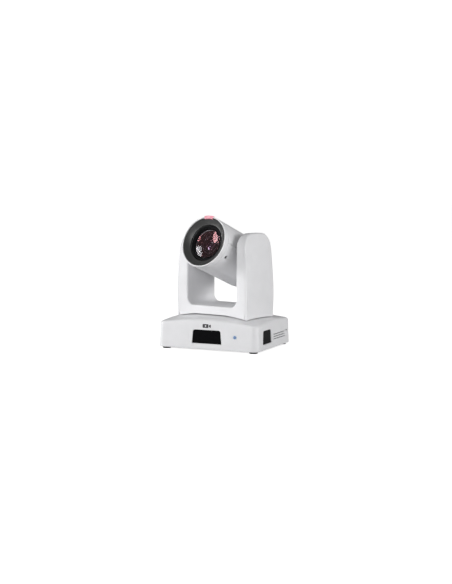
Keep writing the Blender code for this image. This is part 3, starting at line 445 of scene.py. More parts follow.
class EffectLibrary:
    """Builds each shared effect's node group once."""

    def __init__(self) -> None:
        """Starts with no groups built."""
        self._makers: dict[Effect, Callable[[Graph, bpy.types.Node, bpy.types.Node], None]] = {
            Effect.GRAIN: self._grain,
            Effect.EDGES: self._edges,
            Effect.DUST: self._dust,
            Effect.CLOUD: self._cloud,
        }
        self._sockets = {
            Effect.GRAIN: (("Scale", "Depth"), ("Height", "Tone")),
            Effect.EDGES: (("Radius", "Gain"), ("Mask",)),
            Effect.DUST: (("Scale", "Amount"), ("Mask",)),
            Effect.CLOUD: (("Scale", "Low", "High"), ("Value",)),
        }

    def group(self, effect: Effect) -> bpy.types.NodeTree:
        """The effect's node group, built the first time it is asked for.

        Args:
            effect: Which effect.

        Returns:
            The node group.
        """
        found = bpy.data.node_groups.get(effect.value)
        if found:
            return found
        tree = bpy.data.node_groups.new(effect.value, "ShaderNodeTree")
        inputs, outputs = self._sockets[effect]
        for name in inputs:
            tree.interface.new_socket(name, in_out="INPUT", socket_type="NodeSocketFloat")
        for name in outputs:
            tree.interface.new_socket(name, in_out="OUTPUT", socket_type="NodeSocketFloat")
        graph = Graph(tree)
        self._makers[effect](graph, graph.add("NodeGroupInput"), graph.add("NodeGroupOutput"))
        return tree

    def place(self, graph: Graph, effect: Effect, **values: object) -> bpy.types.Node:
        """Places an effect in a material.

        Args:
            graph: The material's graph.
            effect: Which effect.
            **values: Its inputs, with the first letter in lower case.

        Returns:
            The group node.
        """
        node = graph.add("ShaderNodeGroup", node_tree=self.group(effect))
        for key, value in values.items():
            graph.feed(node.inputs[key.capitalize()], value)
        return node

    @staticmethod
    def _grain(graph: Graph, given: bpy.types.Node, result: bpy.types.Node) -> None:
        """The fine spark-eroded texture of a mould, with its broad tone.

        Args:
            graph: The group's graph.
            given: The group's input node.
            result: The group's output node.
        """
        place = graph.add("ShaderNodeTexCoord").outputs["Object"]
        scale = given.outputs["Scale"]
        fine = graph.add(
            "ShaderNodeTexNoise", {"Vector": place, "Scale": scale, "Detail": 3.0, "Roughness": 0.6}
        )
        cells = graph.add(
            "ShaderNodeTexVoronoi", {"Vector": place, "Scale": graph.math("MULTIPLY", scale, 0.7)}
        )
        mixed = graph.math("ADD", graph.math("MULTIPLY", fine.outputs[0], 0.6), cells.outputs["Distance"])
        graph.feed(result.inputs["Height"], graph.math("MULTIPLY", mixed, given.outputs["Depth"]))
        broad = graph.add(
            "ShaderNodeTexNoise", {"Vector": place, "Scale": graph.math("MULTIPLY", scale, 0.02)}
        )
        graph.feed(result.inputs["Tone"], graph.span(broad.outputs[0], 0.0, 1.0, (0.3, 0.7)))

    @staticmethod
    def _edges(graph: Graph, given: bpy.types.Node, result: bpy.types.Node) -> None:
        """Where an edge is sharp enough to be rubbed: the angle between the true and the rounded normal.

        Args:
            graph: The group's graph.
            given: The group's input node.
            result: The group's output node.
        """
        rounded = graph.add("ShaderNodeBevel", {"Radius": given.outputs["Radius"]}, samples=4)
        true = graph.add("ShaderNodeNewGeometry").outputs["Normal"]
        inputs = {0: rounded.outputs[0], 1: true}
        turned = graph.add("ShaderNodeVectorMath", inputs, operation="DOT_PRODUCT").outputs["Value"]
        sharp = graph.math("MULTIPLY", graph.math("SUBTRACT", 1.0, turned), given.outputs["Gain"], clamp=True)
        place = graph.add("ShaderNodeTexCoord").outputs["Object"]
        patches = graph.add("ShaderNodeTexNoise", {"Vector": place, "Scale": 220.0, "Detail": 4.0})
        broken = graph.span(patches.outputs[0], 0.0, 1.0, (0.4, 0.62))
        graph.feed(result.inputs["Mask"], graph.math("MULTIPLY", sharp, broken, clamp=True))

    @staticmethod
    def _dust(graph: Graph, given: bpy.types.Node, result: bpy.types.Node) -> None:
        """Specks and film that settle on what faces up.

        Args:
            graph: The group's graph.
            given: The group's input node.
            result: The group's output node.
        """
        coordinates = graph.add("ShaderNodeTexCoord")
        place = coordinates.outputs["Object"]
        height = graph.add("ShaderNodeSeparateXYZ", {0: coordinates.outputs["Normal"]}).outputs["Z"]
        up = graph.span(height, 0.0, 1.0, (0.2, 1.0))
        scale = given.outputs["Scale"]
        film = graph.add(
            "ShaderNodeTexNoise", {"Vector": place, "Scale": scale, "Detail": 8.0, "Roughness": 0.75}
        )
        specks = graph.span(film.outputs[0], 0.0, 1.0, (0.48, 0.72))
        graph.feed(result.inputs["Mask"], graph.math("MULTIPLY", graph.math("MULTIPLY", up, specks),
                                                     given.outputs["Amount"], clamp=True))

    @staticmethod
    def _cloud(graph: Graph, given: bpy.types.Node, result: bpy.types.Node) -> None:
        """Broad soft patches between two values, such as handling leaves in a sheen.

        Args:
            graph: The group's graph.
            given: The group's input node.
            result: The group's output node.
        """
        place = graph.add("ShaderNodeTexCoord").outputs["Object"]
        inputs = {"Vector": place, "Scale": given.outputs["Scale"], "Detail": 5.0, "Roughness": 0.55}
        patches = graph.add("ShaderNodeTexNoise", inputs).outputs[0]
        value = graph.span(patches, given.outputs["Low"], given.outputs["High"], (0.3, 0.7))
        graph.feed(result.inputs["Value"], value)


EFFECTS = EffectLibrary()


# ---- finishes


@dataclass(frozen=True)
class Finish:
    """What every finish has: a name, the record's slot, a colour and a sheen."""

    name: str
    slot: Slot
    colour: Point3
    roughness: float

    def material(self) -> bpy.types.Material:
        """The finish's material, built the first time it is asked for.

        Returns:
            The material.
        """
        found = bpy.data.materials.get(self.name)
        if found:
            return found
        made = bpy.data.materials.new(self.name)
        made.use_nodes = True
        made.diffuse_color = (*self.colour, 1.0)
        graph = Graph(made.node_tree)
        shader = made.node_tree.nodes["Principled BSDF"]
        self.dress(graph, shader)
        return made

    def dress(self, graph: Graph, shader: bpy.types.Node) -> None:
        """Wires the shader.

        Args:
            graph: The material's graph.
            shader: Its Principled BSDF node.
        """
        raise NotImplementedError

    def relief(self, graph: Graph, shader: bpy.types.Node, height: object, distance: float) -> None:
        """Feeds a height to the shader's normal.

        Args:
            graph: The material's graph.
            shader: Its Principled BSDF node.
            height: The height socket, from 0 to about 1.
            distance: The relief's depth in metres.
        """
        bump = graph.add("ShaderNodeBump", {"Height": height, "Distance": distance})
        graph.feed(shader.inputs["Normal"], bump.outputs["Normal"])


@dataclass(frozen=True)
class MouldedPlastic(Finish):
    """Injection-moulded plastic with a fine mould texture, a little dust and a rubbed edge."""

    rubbed: Point3 = (0.9, 0.9, 0.9)
    grain: float = 2600.0
    depth: float = 0.012 * MM
    dust: float = 0.05
    wear: float = 0.15
    spread: float = 0.05
    specular: float = 0.5

    def dress(self, graph: Graph, shader: bpy.types.Node) -> None:
        """Wires colour, sheen and relief from the shared effects.

        Args:
            graph: The material's graph.
            shader: Its Principled BSDF.
        """
        grain = EFFECTS.place(graph, Effect.GRAIN, scale=self.grain, depth=1.0)
        dust = EFFECTS.place(graph, Effect.DUST, scale=900.0, amount=self.dust)
        edges = EFFECTS.place(graph, Effect.EDGES, radius=0.5 * MM, gain=self.wear * 4)
        low, high = self.roughness - self.spread, self.roughness + self.spread
        cloud = EFFECTS.place(graph, Effect.CLOUD, scale=28.0, low=low, high=high)
        shade = tuple(channel * 0.965 for channel in self.colour)
        body = graph.tint(grain.outputs["Tone"], (*shade, 1.0), (*self.colour, 1.0))
        worn = graph.tint(edges.outputs["Mask"], body, (*self.rubbed, 1.0))
        dusty = graph.tint(dust.outputs["Mask"], worn, (0.55, 0.53, 0.5, 1.0))
        graph.feed(shader.inputs["Base Color"], dusty)
        sheen = graph.math(
            "ADD", cloud.outputs["Value"], graph.math("MULTIPLY", dust.outputs["Mask"], 0.4), clamp=True
        )
        graph.feed(shader.inputs["Roughness"], sheen)
        shader.inputs["Specular IOR Level"].default_value = self.specular
        self.relief(graph, shader, grain.outputs["Height"], self.depth)


@dataclass(frozen=True)
class PolishedPanel(Finish):
    """A smooth, nearly black panel that infrared passes through, its gloss uneven where it was wiped."""

    coat: float = 0.6
    specular: float = 0.5

    def dress(self, graph: Graph, shader: bpy.types.Node) -> None:
        """Wires the smoky body and the wiped gloss.

        Args:
            graph: The material's graph.
            shader: Its Principled BSDF.
        """
        cloud = EFFECTS.place(graph, Effect.CLOUD, scale=45.0, low=self.roughness, high=self.roughness + 0.09)
        dust = EFFECTS.place(graph, Effect.DUST, scale=1400.0, amount=0.1)
        deep = tuple(channel * 0.4 for channel in self.colour)
        body = graph.tint(cloud.outputs["Value"], (*self.colour, 1.0), (*deep, 1.0))
        graph.feed(shader.inputs["Base Color"], graph.tint(dust.outputs["Mask"], body, (0.3, 0.3, 0.3, 1.0)))
        graph.feed(shader.inputs["Roughness"], cloud.outputs["Value"])
        shader.inputs["Specular IOR Level"].default_value = self.specular
        shader.inputs["Coat Weight"].default_value = self.coat
        shader.inputs["Coat Roughness"].default_value = 0.04


@dataclass(frozen=True)
class BareMetal(Finish):
    """Sheet or turned metal with drawn or turned lines and rubbed edges."""

    lines: Point3 = (900.0, 30.0, 900.0)
    depth: float = 0.01 * MM
    dark: float = 0.72

    def dress(self, graph: Graph, shader: bpy.types.Node) -> None:
        """Wires stretched noise as the metal's lines.

        Args:
            graph: The material's graph.
            shader: Its Principled BSDF.
        """
        place = graph.add("ShaderNodeTexCoord").outputs["Object"]
        stretched = graph.add("ShaderNodeMapping", {"Vector": place, "Scale": self.lines}).outputs[0]
        drawn = graph.add("ShaderNodeTexNoise", {"Vector": stretched, "Scale": 1.0, "Detail": 4.0}).outputs[0]
        edges = EFFECTS.place(graph, Effect.EDGES, radius=0.4 * MM, gain=1.2)
        cloud = EFFECTS.place(
            graph, Effect.CLOUD, scale=60.0, low=self.roughness - 0.06, high=self.roughness + 0.1
        )
        dull = tuple(channel * self.dark for channel in self.colour)
        body = graph.tint(graph.span(drawn, 0.0, 1.0, (0.3, 0.7)), (*dull, 1.0), (*self.colour, 1.0))
        bright = tuple(min(1.0, channel * 1.2) for channel in self.colour)
        graph.feed(shader.inputs["Base Color"], graph.tint(edges.outputs["Mask"], body, (*bright, 1.0)))
        graph.feed(shader.inputs["Roughness"], cloud.outputs["Value"])
        shader.inputs["Metallic"].default_value = 1.0
        self.relief(graph, shader, drawn, self.depth)


@dataclass(frozen=True)
class SoftRubber(Finish):
    """Matt rubber with a dry bloom on it."""

    def dress(self, graph: Graph, shader: bpy.types.Node) -> None:
        """Wires the bloom and a coarse skin.

        Args:
            graph: The material's graph.
            shader: Its Principled BSDF.
        """
        grain = EFFECTS.place(graph, Effect.GRAIN, scale=1500.0, depth=1.0)
        dust = EFFECTS.place(graph, Effect.DUST, scale=500.0, amount=0.3)
        edges = EFFECTS.place(graph, Effect.EDGES, radius=0.5 * MM, gain=0.6)
        bloom = tuple(channel * 1.8 + 0.02 for channel in self.colour)
        body = graph.tint(grain.outputs["Tone"], (*self.colour, 1.0), (*bloom, 1.0))
        worn = graph.tint(edges.outputs["Mask"], body, (0.12, 0.12, 0.12, 1.0))
        graph.feed(
            shader.inputs["Base Color"], graph.tint(dust.outputs["Mask"], worn, (0.4, 0.38, 0.36, 1.0))
        )
        graph.feed(
            shader.inputs["Roughness"],
            graph.span(grain.outputs["Tone"], self.roughness - 0.1, self.roughness),
        )
        self.relief(graph, shader, grain.outputs["Height"], 0.03 * MM)


@dataclass(frozen=True)
class CircuitBoard(Finish):
    """Solder mask with copper tracks showing under it."""

    track: Point3 = (0.05, 0.28, 0.12)

    def dress(self, graph: Graph, shader: bpy.types.Node) -> None:
        """Wires a track pattern of square cells with gaps.

        Args:
            graph: The material's graph.
            shader: Its Principled BSDF.
        """
        place = graph.add("ShaderNodeTexCoord").outputs["Object"]
        cells = graph.add(
            "ShaderNodeTexBrick",
            {"Vector": place, "Scale": 90.0, "Mortar Size": 0.035, "Color1": (0.0, 0.0, 0.0, 1.0),
             "Color2": (0.25, 0.25, 0.25, 1.0), "Mortar": (1.0, 1.0, 1.0, 1.0)},
        ).outputs["Color"]
        cloud = EFFECTS.place(
            graph, Effect.CLOUD, scale=80.0, low=self.roughness - 0.12, high=self.roughness + 0.05
        )
        body = graph.tint(cells, (*self.colour, 1.0), (*self.track, 1.0))
        graph.feed(shader.inputs["Base Color"], body)
        graph.feed(shader.inputs["Roughness"], cloud.outputs["Value"])
        self.relief(graph, shader, cells, 0.03 * MM)


@dataclass(frozen=True)
class ClearGlass(Finish):
    """Optical glass with a tinted coating."""

    index: float = 1.5
    sheen: Point3 = (1.0, 1.0, 1.0)

    def dress(self, graph: Graph, shader: bpy.types.Node) -> None:
        """Wires plain transmission with faint wipe marks; the coating tints what it mirrors.

        Args:
            graph: The material's graph.
            shader: Its Principled BSDF.
        """
        cloud = EFFECTS.place(graph, Effect.CLOUD, scale=60.0, low=self.roughness * 0.4, high=self.roughness)
        dust = EFFECTS.place(graph, Effect.DUST, scale=1500.0, amount=0.08)
        tinted = graph.tint(dust.outputs["Mask"], (*self.colour, 1.0), (0.7, 0.7, 0.7, 1.0))
        graph.feed(shader.inputs["Base Color"], tinted)
        graph.feed(shader.inputs["Roughness"], cloud.outputs["Value"])
        shader.inputs["Transmission Weight"].default_value = 1.0
        shader.inputs["IOR"].default_value = self.index
        shader.inputs["Specular Tint"].default_value = (*self.sheen, 1.0)


@dataclass(frozen=True)
class ShadePaintedElement(Finish):
    """A deep lens element as seen from outside: dark and glossy, the dark being painted shade of the lens's
    inside, and its colour shifting to the rim as a painted sheen.
    """

    # the rim colour is lighter than the body: a painted sheen where the surface is seen at a grazing angle
    rim: Point3 = (0.12, 0.03, 0.06)

    def dress(self, graph: Graph, shader: bpy.types.Node) -> None:
        """Wires a painted sheen: the colour shifts to the rim colour the more steeply the surface is seen,
        with random patches.

        Args:
            graph: The material's graph.
            shader: Its Principled BSDF.
        """
        grazing_sheen = graph.add("ShaderNodeLayerWeight", {"Blend": 0.35}).outputs["Facing"]
        cloud = EFFECTS.place(graph, Effect.CLOUD, scale=150.0, low=0.0, high=0.3)
        tone = graph.math("ADD", grazing_sheen, cloud.outputs["Value"], clamp=True)
        graph.feed(shader.inputs["Base Color"], graph.tint(tone, (*self.colour, 1.0), (*self.rim, 1.0)))
        shader.inputs["Roughness"].default_value = self.roughness
        shader.inputs["Metallic"].default_value = 0.0
        shader.inputs["Specular IOR Level"].default_value = 0.9
        shader.inputs["Specular Tint"].default_value = (0.95, 0.55, 0.75, 1.0)
        shader.inputs["Coat Weight"].default_value = 0.5
        shader.inputs["Coat Roughness"].default_value = 0.03
        shader.inputs["Coat Tint"].default_value = (0.8, 0.6, 1.0, 1.0)


@dataclass(frozen=True)
class Lamp(Finish):
    """A translucent moulded lamp that glows from inside."""

    glow: float = 0.4
    core: Point3 = (1.0, 0.4, 0.5)

    def dress(self, graph: Graph, shader: bpy.types.Node) -> None:
        """Wires a soft body with an uneven glow.

        Args:
            graph: The material's graph.
            shader: Its Principled BSDF.
        """
        cloud = EFFECTS.place(graph, Effect.CLOUD, scale=160.0, low=0.0, high=1.0)
        grain = EFFECTS.place(graph, Effect.GRAIN, scale=1800.0, depth=1.0)
        pale = tuple(blended(channel, 1.0, 0.35) for channel in self.colour)
        graph.feed(
            shader.inputs["Base Color"], graph.tint(cloud.outputs["Value"], (*self.colour, 1.0), (*pale, 1.0))
        )
        hot = tuple(blended(channel, 1.0, 0.3) for channel in self.core)
        graph.feed(
            shader.inputs["Emission Color"],
            graph.tint(cloud.outputs["Value"], (*self.core, 1.0), (*hot, 1.0)),
        )
        shader.inputs["Emission Strength"].default_value = self.glow
        shader.inputs["Roughness"].default_value = self.roughness
        shader.inputs["Coat Weight"].default_value = 0.4
        self.relief(graph, shader, grain.outputs["Height"], 0.01 * MM)


WHITE = MouldedPlastic("White moulding", Slot.WHITE, (0.80, 0.80, 0.815), 0.44, rubbed=(0.86, 0.86, 0.87))
BLACK = MouldedPlastic(
    "Black moulding", Slot.BLACK, (0.02, 0.02, 0.022), 0.5, rubbed=(0.06, 0.06, 0.06), dust=0.1, grain=1900.0
)
FLOCK = MouldedPlastic(
    "Barrel black", Slot.BLACK, (0.006, 0.006, 0.007), 0.7,
    rubbed=(0.012, 0.012, 0.012), dust=0.0, specular=0.12,
)
HOOD = MouldedPlastic(
    "Hood grey", Slot.HOOD, (0.042, 0.043, 0.043), 0.38, rubbed=(0.09, 0.09, 0.09), dust=0.02, grain=2100.0
)
PRINT = MouldedPlastic(
    "Grey print", Slot.BLACK, (0.045, 0.045, 0.048), 0.45, rubbed=(0.12, 0.12, 0.12), dust=0.02
)
PORT = MouldedPlastic(
    "Socket black", Slot.PORT, (0.028, 0.028, 0.03), 0.5, rubbed=(0.09, 0.09, 0.09), dust=0.12
)
ACETAL = MouldedPlastic(
    "Natural acetal", Slot.ACETAL, (0.83, 0.81, 0.74), 0.4, rubbed=(0.9, 0.88, 0.82), dust=0.02
)
WINDOW = PolishedPanel("Smoked panel", Slot.WINDOW, (0.004, 0.004, 0.005), 0.12, coat=0.03, specular=0.05)
SENSOR = PolishedPanel("Sensor face", Slot.WINDOW, (0.03, 0.02, 0.05), 0.08, coat=1.0)
STEEL = BareMetal("Zinc-plated steel", Slot.STEEL, (0.60, 0.61, 0.63), 0.34)
SCREW_STEEL = BareMetal(
    "Dark screw steel", Slot.STEEL, (0.035, 0.035, 0.037), 0.42, lines=(500.0, 500.0, 500.0)
)
ALUMINIUM = BareMetal(
    "Machined aluminium", Slot.ALUMINIUM, (0.74, 0.75, 0.77), 0.3, lines=(120.0, 1500.0, 120.0)
)
BRASS = BareMetal("Turned brass", Slot.BRASS, (0.78, 0.6, 0.28), 0.28, lines=(300.0, 300.0, 2500.0))
CONTACT = BareMetal("Gilt contact", Slot.BRASS, (0.95, 0.72, 0.35), 0.22, lines=(200.0, 200.0, 200.0))
RUBBER = SoftRubber("Foot rubber", Slot.RUBBER, (0.018, 0.018, 0.018), 0.85)
BOARD = CircuitBoard("Solder mask", Slot.BOARD, (0.012, 0.12, 0.05), 0.45)
# light grey for thin rings inside the lens: a painted highlight for edges that catch the light
GLINT_GREY = MouldedPlastic("Painted glint grey", Slot.ALUMINIUM, (0.42, 0.38, 0.4), 0.35, rubbed=(0.6, 0.58, 0.6), dust=0.0)
FRONT_GLASS = ClearGlass("Front glass", Slot.GLASS, (0.97, 0.96, 0.98), 0.012, sheen=(0.12, 0.12, 0.135))
SECOND_GLASS = ClearGlass(
    "Coated glass", Slot.GLASS, (0.95, 0.9, 0.95), 0.08, index=1.75, sheen=(0.65, 0.24, 0.25)
)
# the dark body colours of these elements are painted shade for the lens's dark inside; their lighter rims are
# a painted sheen
INNER_GLASS = ShadePaintedElement("Coated element", Slot.GLASS, (0.12, 0.062, 0.066), 0.12, rim=(0.2, 0.09, 0.09))
DEEP_GLASS = ShadePaintedElement("Deep element", Slot.GLASS, (0.012, 0.006, 0.014), 0.06, rim=(0.1, 0.03, 0.07))
TALLY = Lamp("Tally lens", Slot.TALLY, (0.68, 0.2, 0.27), 0.3, glow=0.15)
LED = Lamp("Status lens", Slot.LED, (0.012, 0.09, 0.26), 0.2, glow=0.09, core=(0.02, 0.3, 0.9))
HALO = Lamp("Status halo", Slot.LED, (0.27, 0.46, 0.7), 0.4, glow=0.02, core=(0.3, 0.6, 1.0))
LINK_LAMP = Lamp("Link light", Slot.ACETAL, (0.35, 0.7, 0.25), 0.3, glow=0.1, core=(0.2, 0.9, 0.2))


# ---- pieces


@dataclass(frozen=True)
class Body:
    """A CAD body's name with the frame in which its pieces are modelled."""

    name: str
    place: Matrix

    def add(
        self, name: str, solid: Solid, finish: Finish, replaces: Sequence[str] = (), smooth: float = 32.0,
        bevel: float = 0.0, steps: int = 2,
    ) -> bpy.types.Object:
        """Makes a solid into a piece that rides on this body.

        Args:
            name: The piece's name.
            solid: Its shape, in the body's modelling frame. It is used up.
            finish: Its finish.
            replaces: The CAD nodes that it stands for.
            smooth: Edges sharper than this, in degrees, stay sharp.
            bevel: The rounding of its sharp edges, in metres; 0 leaves them.
            steps: Runs across each rounding.

        Returns:
            The piece.
        """
        mesh = bpy.data.meshes.new(name)
        solid.moved(self.place)
        solid.bm.to_mesh(mesh)
        solid.bm.free()
        mesh.shade_smooth()
        mesh.set_sharp_from_angle(angle=math.radians(smooth))
        mesh.materials.append(finish.material())
        piece = bpy.data.objects.new(name, mesh)
        bpy.context.scene.collection.objects.link(piece)
        if bevel:
            round_edges(piece, bevel, steps)
        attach(piece, self.name)
        if replaces:
            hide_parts(*replaces)
        LOG.info("%s: %s on %s", name, finish.name, self.name)
        return piece


def round_edges(piece: bpy.types.Object, width: float, steps: int = 2, angle: float = 40.0) -> None:
    """Rounds a piece's sharp edges.

    Args:
        piece: The piece or CAD node.
        width: The rounding's width, in metres.
        steps: Runs across each rounding.
        angle: The least angle of an edge that is rounded, in degrees.
    """
    bevel = piece.modifiers.new("edge rounding", "BEVEL")
    bevel.width = width
    bevel.segments = steps
    bevel.limit_method = "ANGLE"
    bevel.angle_limit = math.radians(angle)
    bevel.use_clamp_overlap = True
    bevel.harden_normals = True


def dress_node(node: str, finish: Finish, bevel: float = 0.0) -> None:
    """Gives a CAD node that stays its finish and, where asked for, rounded edges.

    Args:
        node: The CAD node.
        finish: Its finish.
        bevel: The rounding's width, in metres.
    """
    piece = frame["nodes"][node]
    piece.data.materials.clear()
    piece.data.materials.append(finish.material())
    if bevel:
        round_edges(piece, bevel, 1)
    LOG.info("%s: %s", node, finish.name)


def joint(name: str) -> dict:
    """The record's joint of that name."""
    return next(found for found in frame["joints"] if found["name"] == name)


def matrix_of(x: Vector, y: Vector, z: Vector, origin: Vector) -> Matrix:
    """The matrix whose columns are three axes and an origin.

    Args:
        x: The X axis.
        y: The Y axis.
        z: The Z axis.
        origin: Where they meet.

    Returns:
        The matrix.
    """
    made = Matrix((x, y, z)).transposed().to_4x4()
    made.translation = origin
    return made


def body_frames() -> dict[str, Body]:
    """The bodies' modelling frames at rest, worked out from the joints' axes.

    Returns:
        Body name to body. The base's frame is the world. The yoke's X runs along the tilt axis. The head and
        its lens groups have their origin on the tilt axis, with -Y along the optical axis to the front.
    """
    up = Vector((0, 0, 1))
    across = -Vector(joint("tilt")["axis"]).normalized()
    backward = Vector(joint("zoom")["axis"]).normalized()
    pivot = Vector(joint("tilt")["pos_m"])
    yoke = matrix_of(across, up.cross(across), up, Vector((0, 0, 0)))
    head = matrix_of(across, backward, across.cross(backward), pivot)
    places = {
        "base": Matrix.Identity(4),
        "yoke": yoke,
        "head": head,
        "zoom_group": head,
        "focus_group": head,
    }
    return {name: Body(name, place) for name, place in places.items()}


@dataclass(frozen=True)
class CrossScrew:
    """A pan-head screw with a cross recess, its head at the origin and facing +Z."""

    head_radius: float = 2.8 * MM
    head_height: float = 1.6 * MM
    shank_radius: float = 1.35 * MM
    length: float = 8.0 * MM
    recess: float = 0.9 * MM

    def solid(self) -> Solid:
        """The screw's shape, with a domed head.

        Returns:
            The screw.
        """
        flank = self.head_height * 0.45
        dome = self.head_height - flank
        crown = [
            (self.head_radius * math.cos(turn * math.pi / 12), flank + dome * math.sin(turn * math.pi / 12))
            for turn in range(6)
        ]
        profile = [
            (0, -self.length),
            (self.shank_radius * 0.6, -self.length),
            (self.shank_radius, -self.length * 0.85),
            (self.shank_radius, 0),
            (self.head_radius, 0),
            *crown,
            (0, self.head_height),
        ]
        made = Solid(lathe(profile, "Z", 32))
        half, slot = self.head_radius * 0.55, self.head_radius * 0.11
        low, high = self.head_height - self.recess, self.head_height * 2
        across = Solid(block((-half, -slot, low), (half, slot, high)))
        upright = Solid(block((-slot, -half, low), (slot, half, high)))
        return made.cut(across, upright)


def gathered(solids: Sequence[Solid]) -> Solid:
    """Several solids that stay apart, as one.

    Args:
        solids: The solids, used up by this.

    Returns:
        The one solid.
    """
    made = bmesh.new()
    for solid in solids:
        mesh = bpy.data.meshes.new("scratch_gather")
        solid.bm.to_mesh(mesh)
        solid.bm.free()
        made.from_mesh(mesh)
        bpy.data.meshes.remove(mesh)
    return Solid(made)


# ---- base


@dataclass
class Base:
    """The base: a rounded, slightly drafted shell with a roof like a shallow cone, and what shows on it."""

    body: Body
    wall: float = 2.5 * MM
    draft: float = 1.0 * MM
    corner: float = 11.5 * MM
    roof_edge: float = 4.0 * MM
    flat_radius: float = 50.0 * MM
    fall: float = 1 / 6
    ease: float = 6.0 * MM  # softens the start of the fall
    hole_radius: float = 19.0 * MM
    foot_edge: float = 1.4 * MM
    window_corner: float = 3.5 * MM
    window_taper: float = 1.6 * MM
    vent_slot: float = 1.3 * MM
    vent_length: float = 50.0 * MM
    vent_middle: float = 20.5 * MM
    vent_heights: tuple[float, ...] = (16.8 * MM, 20.7 * MM, 24.6 * MM)
    lock: Point2 = (53.0 * MM, 25.5 * MM)
    lock_length: float = 6.4 * MM
    lock_height: float = 2.2 * MM
    halo_width: float = 0.95 * MM
    mark_height: float = 41.5 * MM

    def __post_init__(self) -> None:
        """Reads the housing's box."""
        self.low, self.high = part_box("base_housing")

    def build(self) -> None:
        """Builds and dresses every piece of the base."""
        self.build_shell()
        self.build_windows()
        self.build_status_light()
        self.build_vent_shade()
        self.build_mark()
        self.build_feet()
        self.build_underside()
        self.dress_drive()

    def roof_height(self, x: float, y: float) -> float:
        """The roof's height over a point: level round the pan axis, then easing into a cone.

        Args:
            x: The point's X.
            y: Its Y.

        Returns:
            The height.
        """
        past = math.hypot(x, y) - self.flat_radius
        slope = (past + math.hypot(past, self.ease)) / 2
        return self.high.z - slope * self.fall

    def ring(self, inset: float, height: Callable[[float, float], float]) -> list[Point3]:
        """The base's outline moved in by inset, each point raised to height(x, y).

        Args:
            inset: How far in.
            height: The height over a point.

        Returns:
            The raised points.
        """
        radius = max(self.corner - inset, 2 * MM)
        outline = rounded_rectangle(self.high.x - inset, -self.low.y - inset, radius, 10, (24, 18))
        return [(x, y, height(x, y)) for x, y in outline]

    def skin(self, inset: float, drop: float) -> list[list[Point3]]:
        """Rings up the wall, round the roof's edge and in to its hole.

        Args:
            inset: How far inside the outer surface, sideways.
            drop: How far below it.

        Returns:
            The rings from the wall's foot to the hole.
        """
        edge = max(self.roof_edge - drop, 1 * MM)
        rings = []
        for step in range(1, 4):
            share = step / 4
            lean = inset + self.draft * share

            def part_way(x: float, y: float, share: float = share) -> float:
                """A height part of the way up the wall."""
                return blended(self.low.z + self.foot_edge, self.roof_height(x, y) - drop - edge, share)

            rings.append(self.ring(lean, part_way))
        for step in range(7):
            turn = step / 6 * math.pi / 2
            into = inset + self.draft + edge * (1 - math.cos(turn))
            down = drop + edge * (1 - math.sin(turn))
            rings.append(self.ring(into, lambda x, y, down=down: self.roof_height(x, y) - down))
        rim = rings[-1]
        for step in range(1, 15):
            share = step / 14
            inner = []
            for x, y, _ in rim:
                reach = math.hypot(x, y)
                scale = blended(reach, self.hole_radius, share) / reach
                inner.append((x * scale, y * scale, self.roof_height(x * scale, y * scale) - drop))
            rings.append(inner)
        return rings

    def build_shell(self) -> None:
        """The housing, hollow, with its windows, light, vents, lock slot and rear opening."""
        foot = []
        for step in range(5):
            turn = step / 4 * math.pi / 2
            inset, up = self.foot_edge * (1 - math.sin(turn)), self.foot_edge * (1 - math.cos(turn))
            foot.append(self.ring(inset, lambda x, y, up=up: self.low.z + up))
        inside = [self.ring(self.wall, lambda x, y: self.low.z), *self.skin(self.wall, self.wall)]
        shell = Solid(loft(foot + self.skin(0, 0) + inside[::-1], closed=True))
        deep = 6 * MM
        front, side = self.low.y, self.high.x
        cutters = [
            Solid(prism(self.window_outline("front_ir_window", "X", HAIR), "Y", front - deep, front + deep))
        ]
        for hand in Side:
            outline = self.window_outline(f"{hand.word}_ir_window", "Y", HAIR)
            cutters.append(Solid(prism(outline, "X", *hand.span(side - deep, side + deep))))
            for height in self.vent_heights:
                cutters.append(
                    Solid(prism(self.vent_outline(height), "X", *hand.span(side - deep, side + deep)))
                )
        y, z = self.lock
        slot = rounded_rectangle(self.lock_length / 2, self.lock_height / 2, 0.6 * MM, 4)
        cutters.append(
            Solid(prism([(y + along, z + up) for along, up in slot], "X", side - deep, side + deep))
        )
        low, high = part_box("status_led")
        middle = (low + high) / 2
        light = (high.x - low.x) / 2 + self.halo_width + HAIR
        cutters.append(Solid(rod(light, "Y", front - deep, front + deep, 40, (middle.x, 0, middle.z))))
        low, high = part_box("rear_panel")
        sheet = 1.2 * MM
        opening = rounded_rectangle(high.x - sheet, (high.z - low.z) / 2 - sheet, 2 * MM, 6)
        centre = (high.z + low.z) / 2
        outline = [(x, centre + up) for x, up in opening]
        cutters.append(Solid(prism(outline, "Y", -front - deep, -front + deep)))
        shell.cut(*cutters)
        self.body.add("base_shell", shell, WHITE, ["base_housing"], 35, 0.3 * MM)

    def window_outline(self, node: str, across: str, grow: float = 0.0) -> list[Point2]:
        """A window's outline: an upright trapezium, round at its top corners.

        Args:
            node: The window's CAD node, whose box gives its size.
            across: The axis that its width lies along.
            grow: How far the outline stands outside the window.

        Returns:
            Points of (across, height).
        """
        low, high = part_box(node)
        start, end = getattr(low, across.lower()), getattr(high, across.lower())
        middle, half = (start + end) / 2, (end - start) / 2 + grow
        radius = self.window_corner + grow
        top = high.z + grow
        right = arc((half - self.window_taper - radius, top - radius), radius, 0, math.pi / 2, 8)
        left = [(-x, z) for x, z in reversed(right)]
        bottom = low.z - grow
        small = 0.8 * MM
        feet = [
            (-half, bottom + small), (-half + small, bottom), (half - small, bottom), (half, bottom + small)
        ]
        return [(middle + x, z) for x, z in [*feet, *right, *left]]

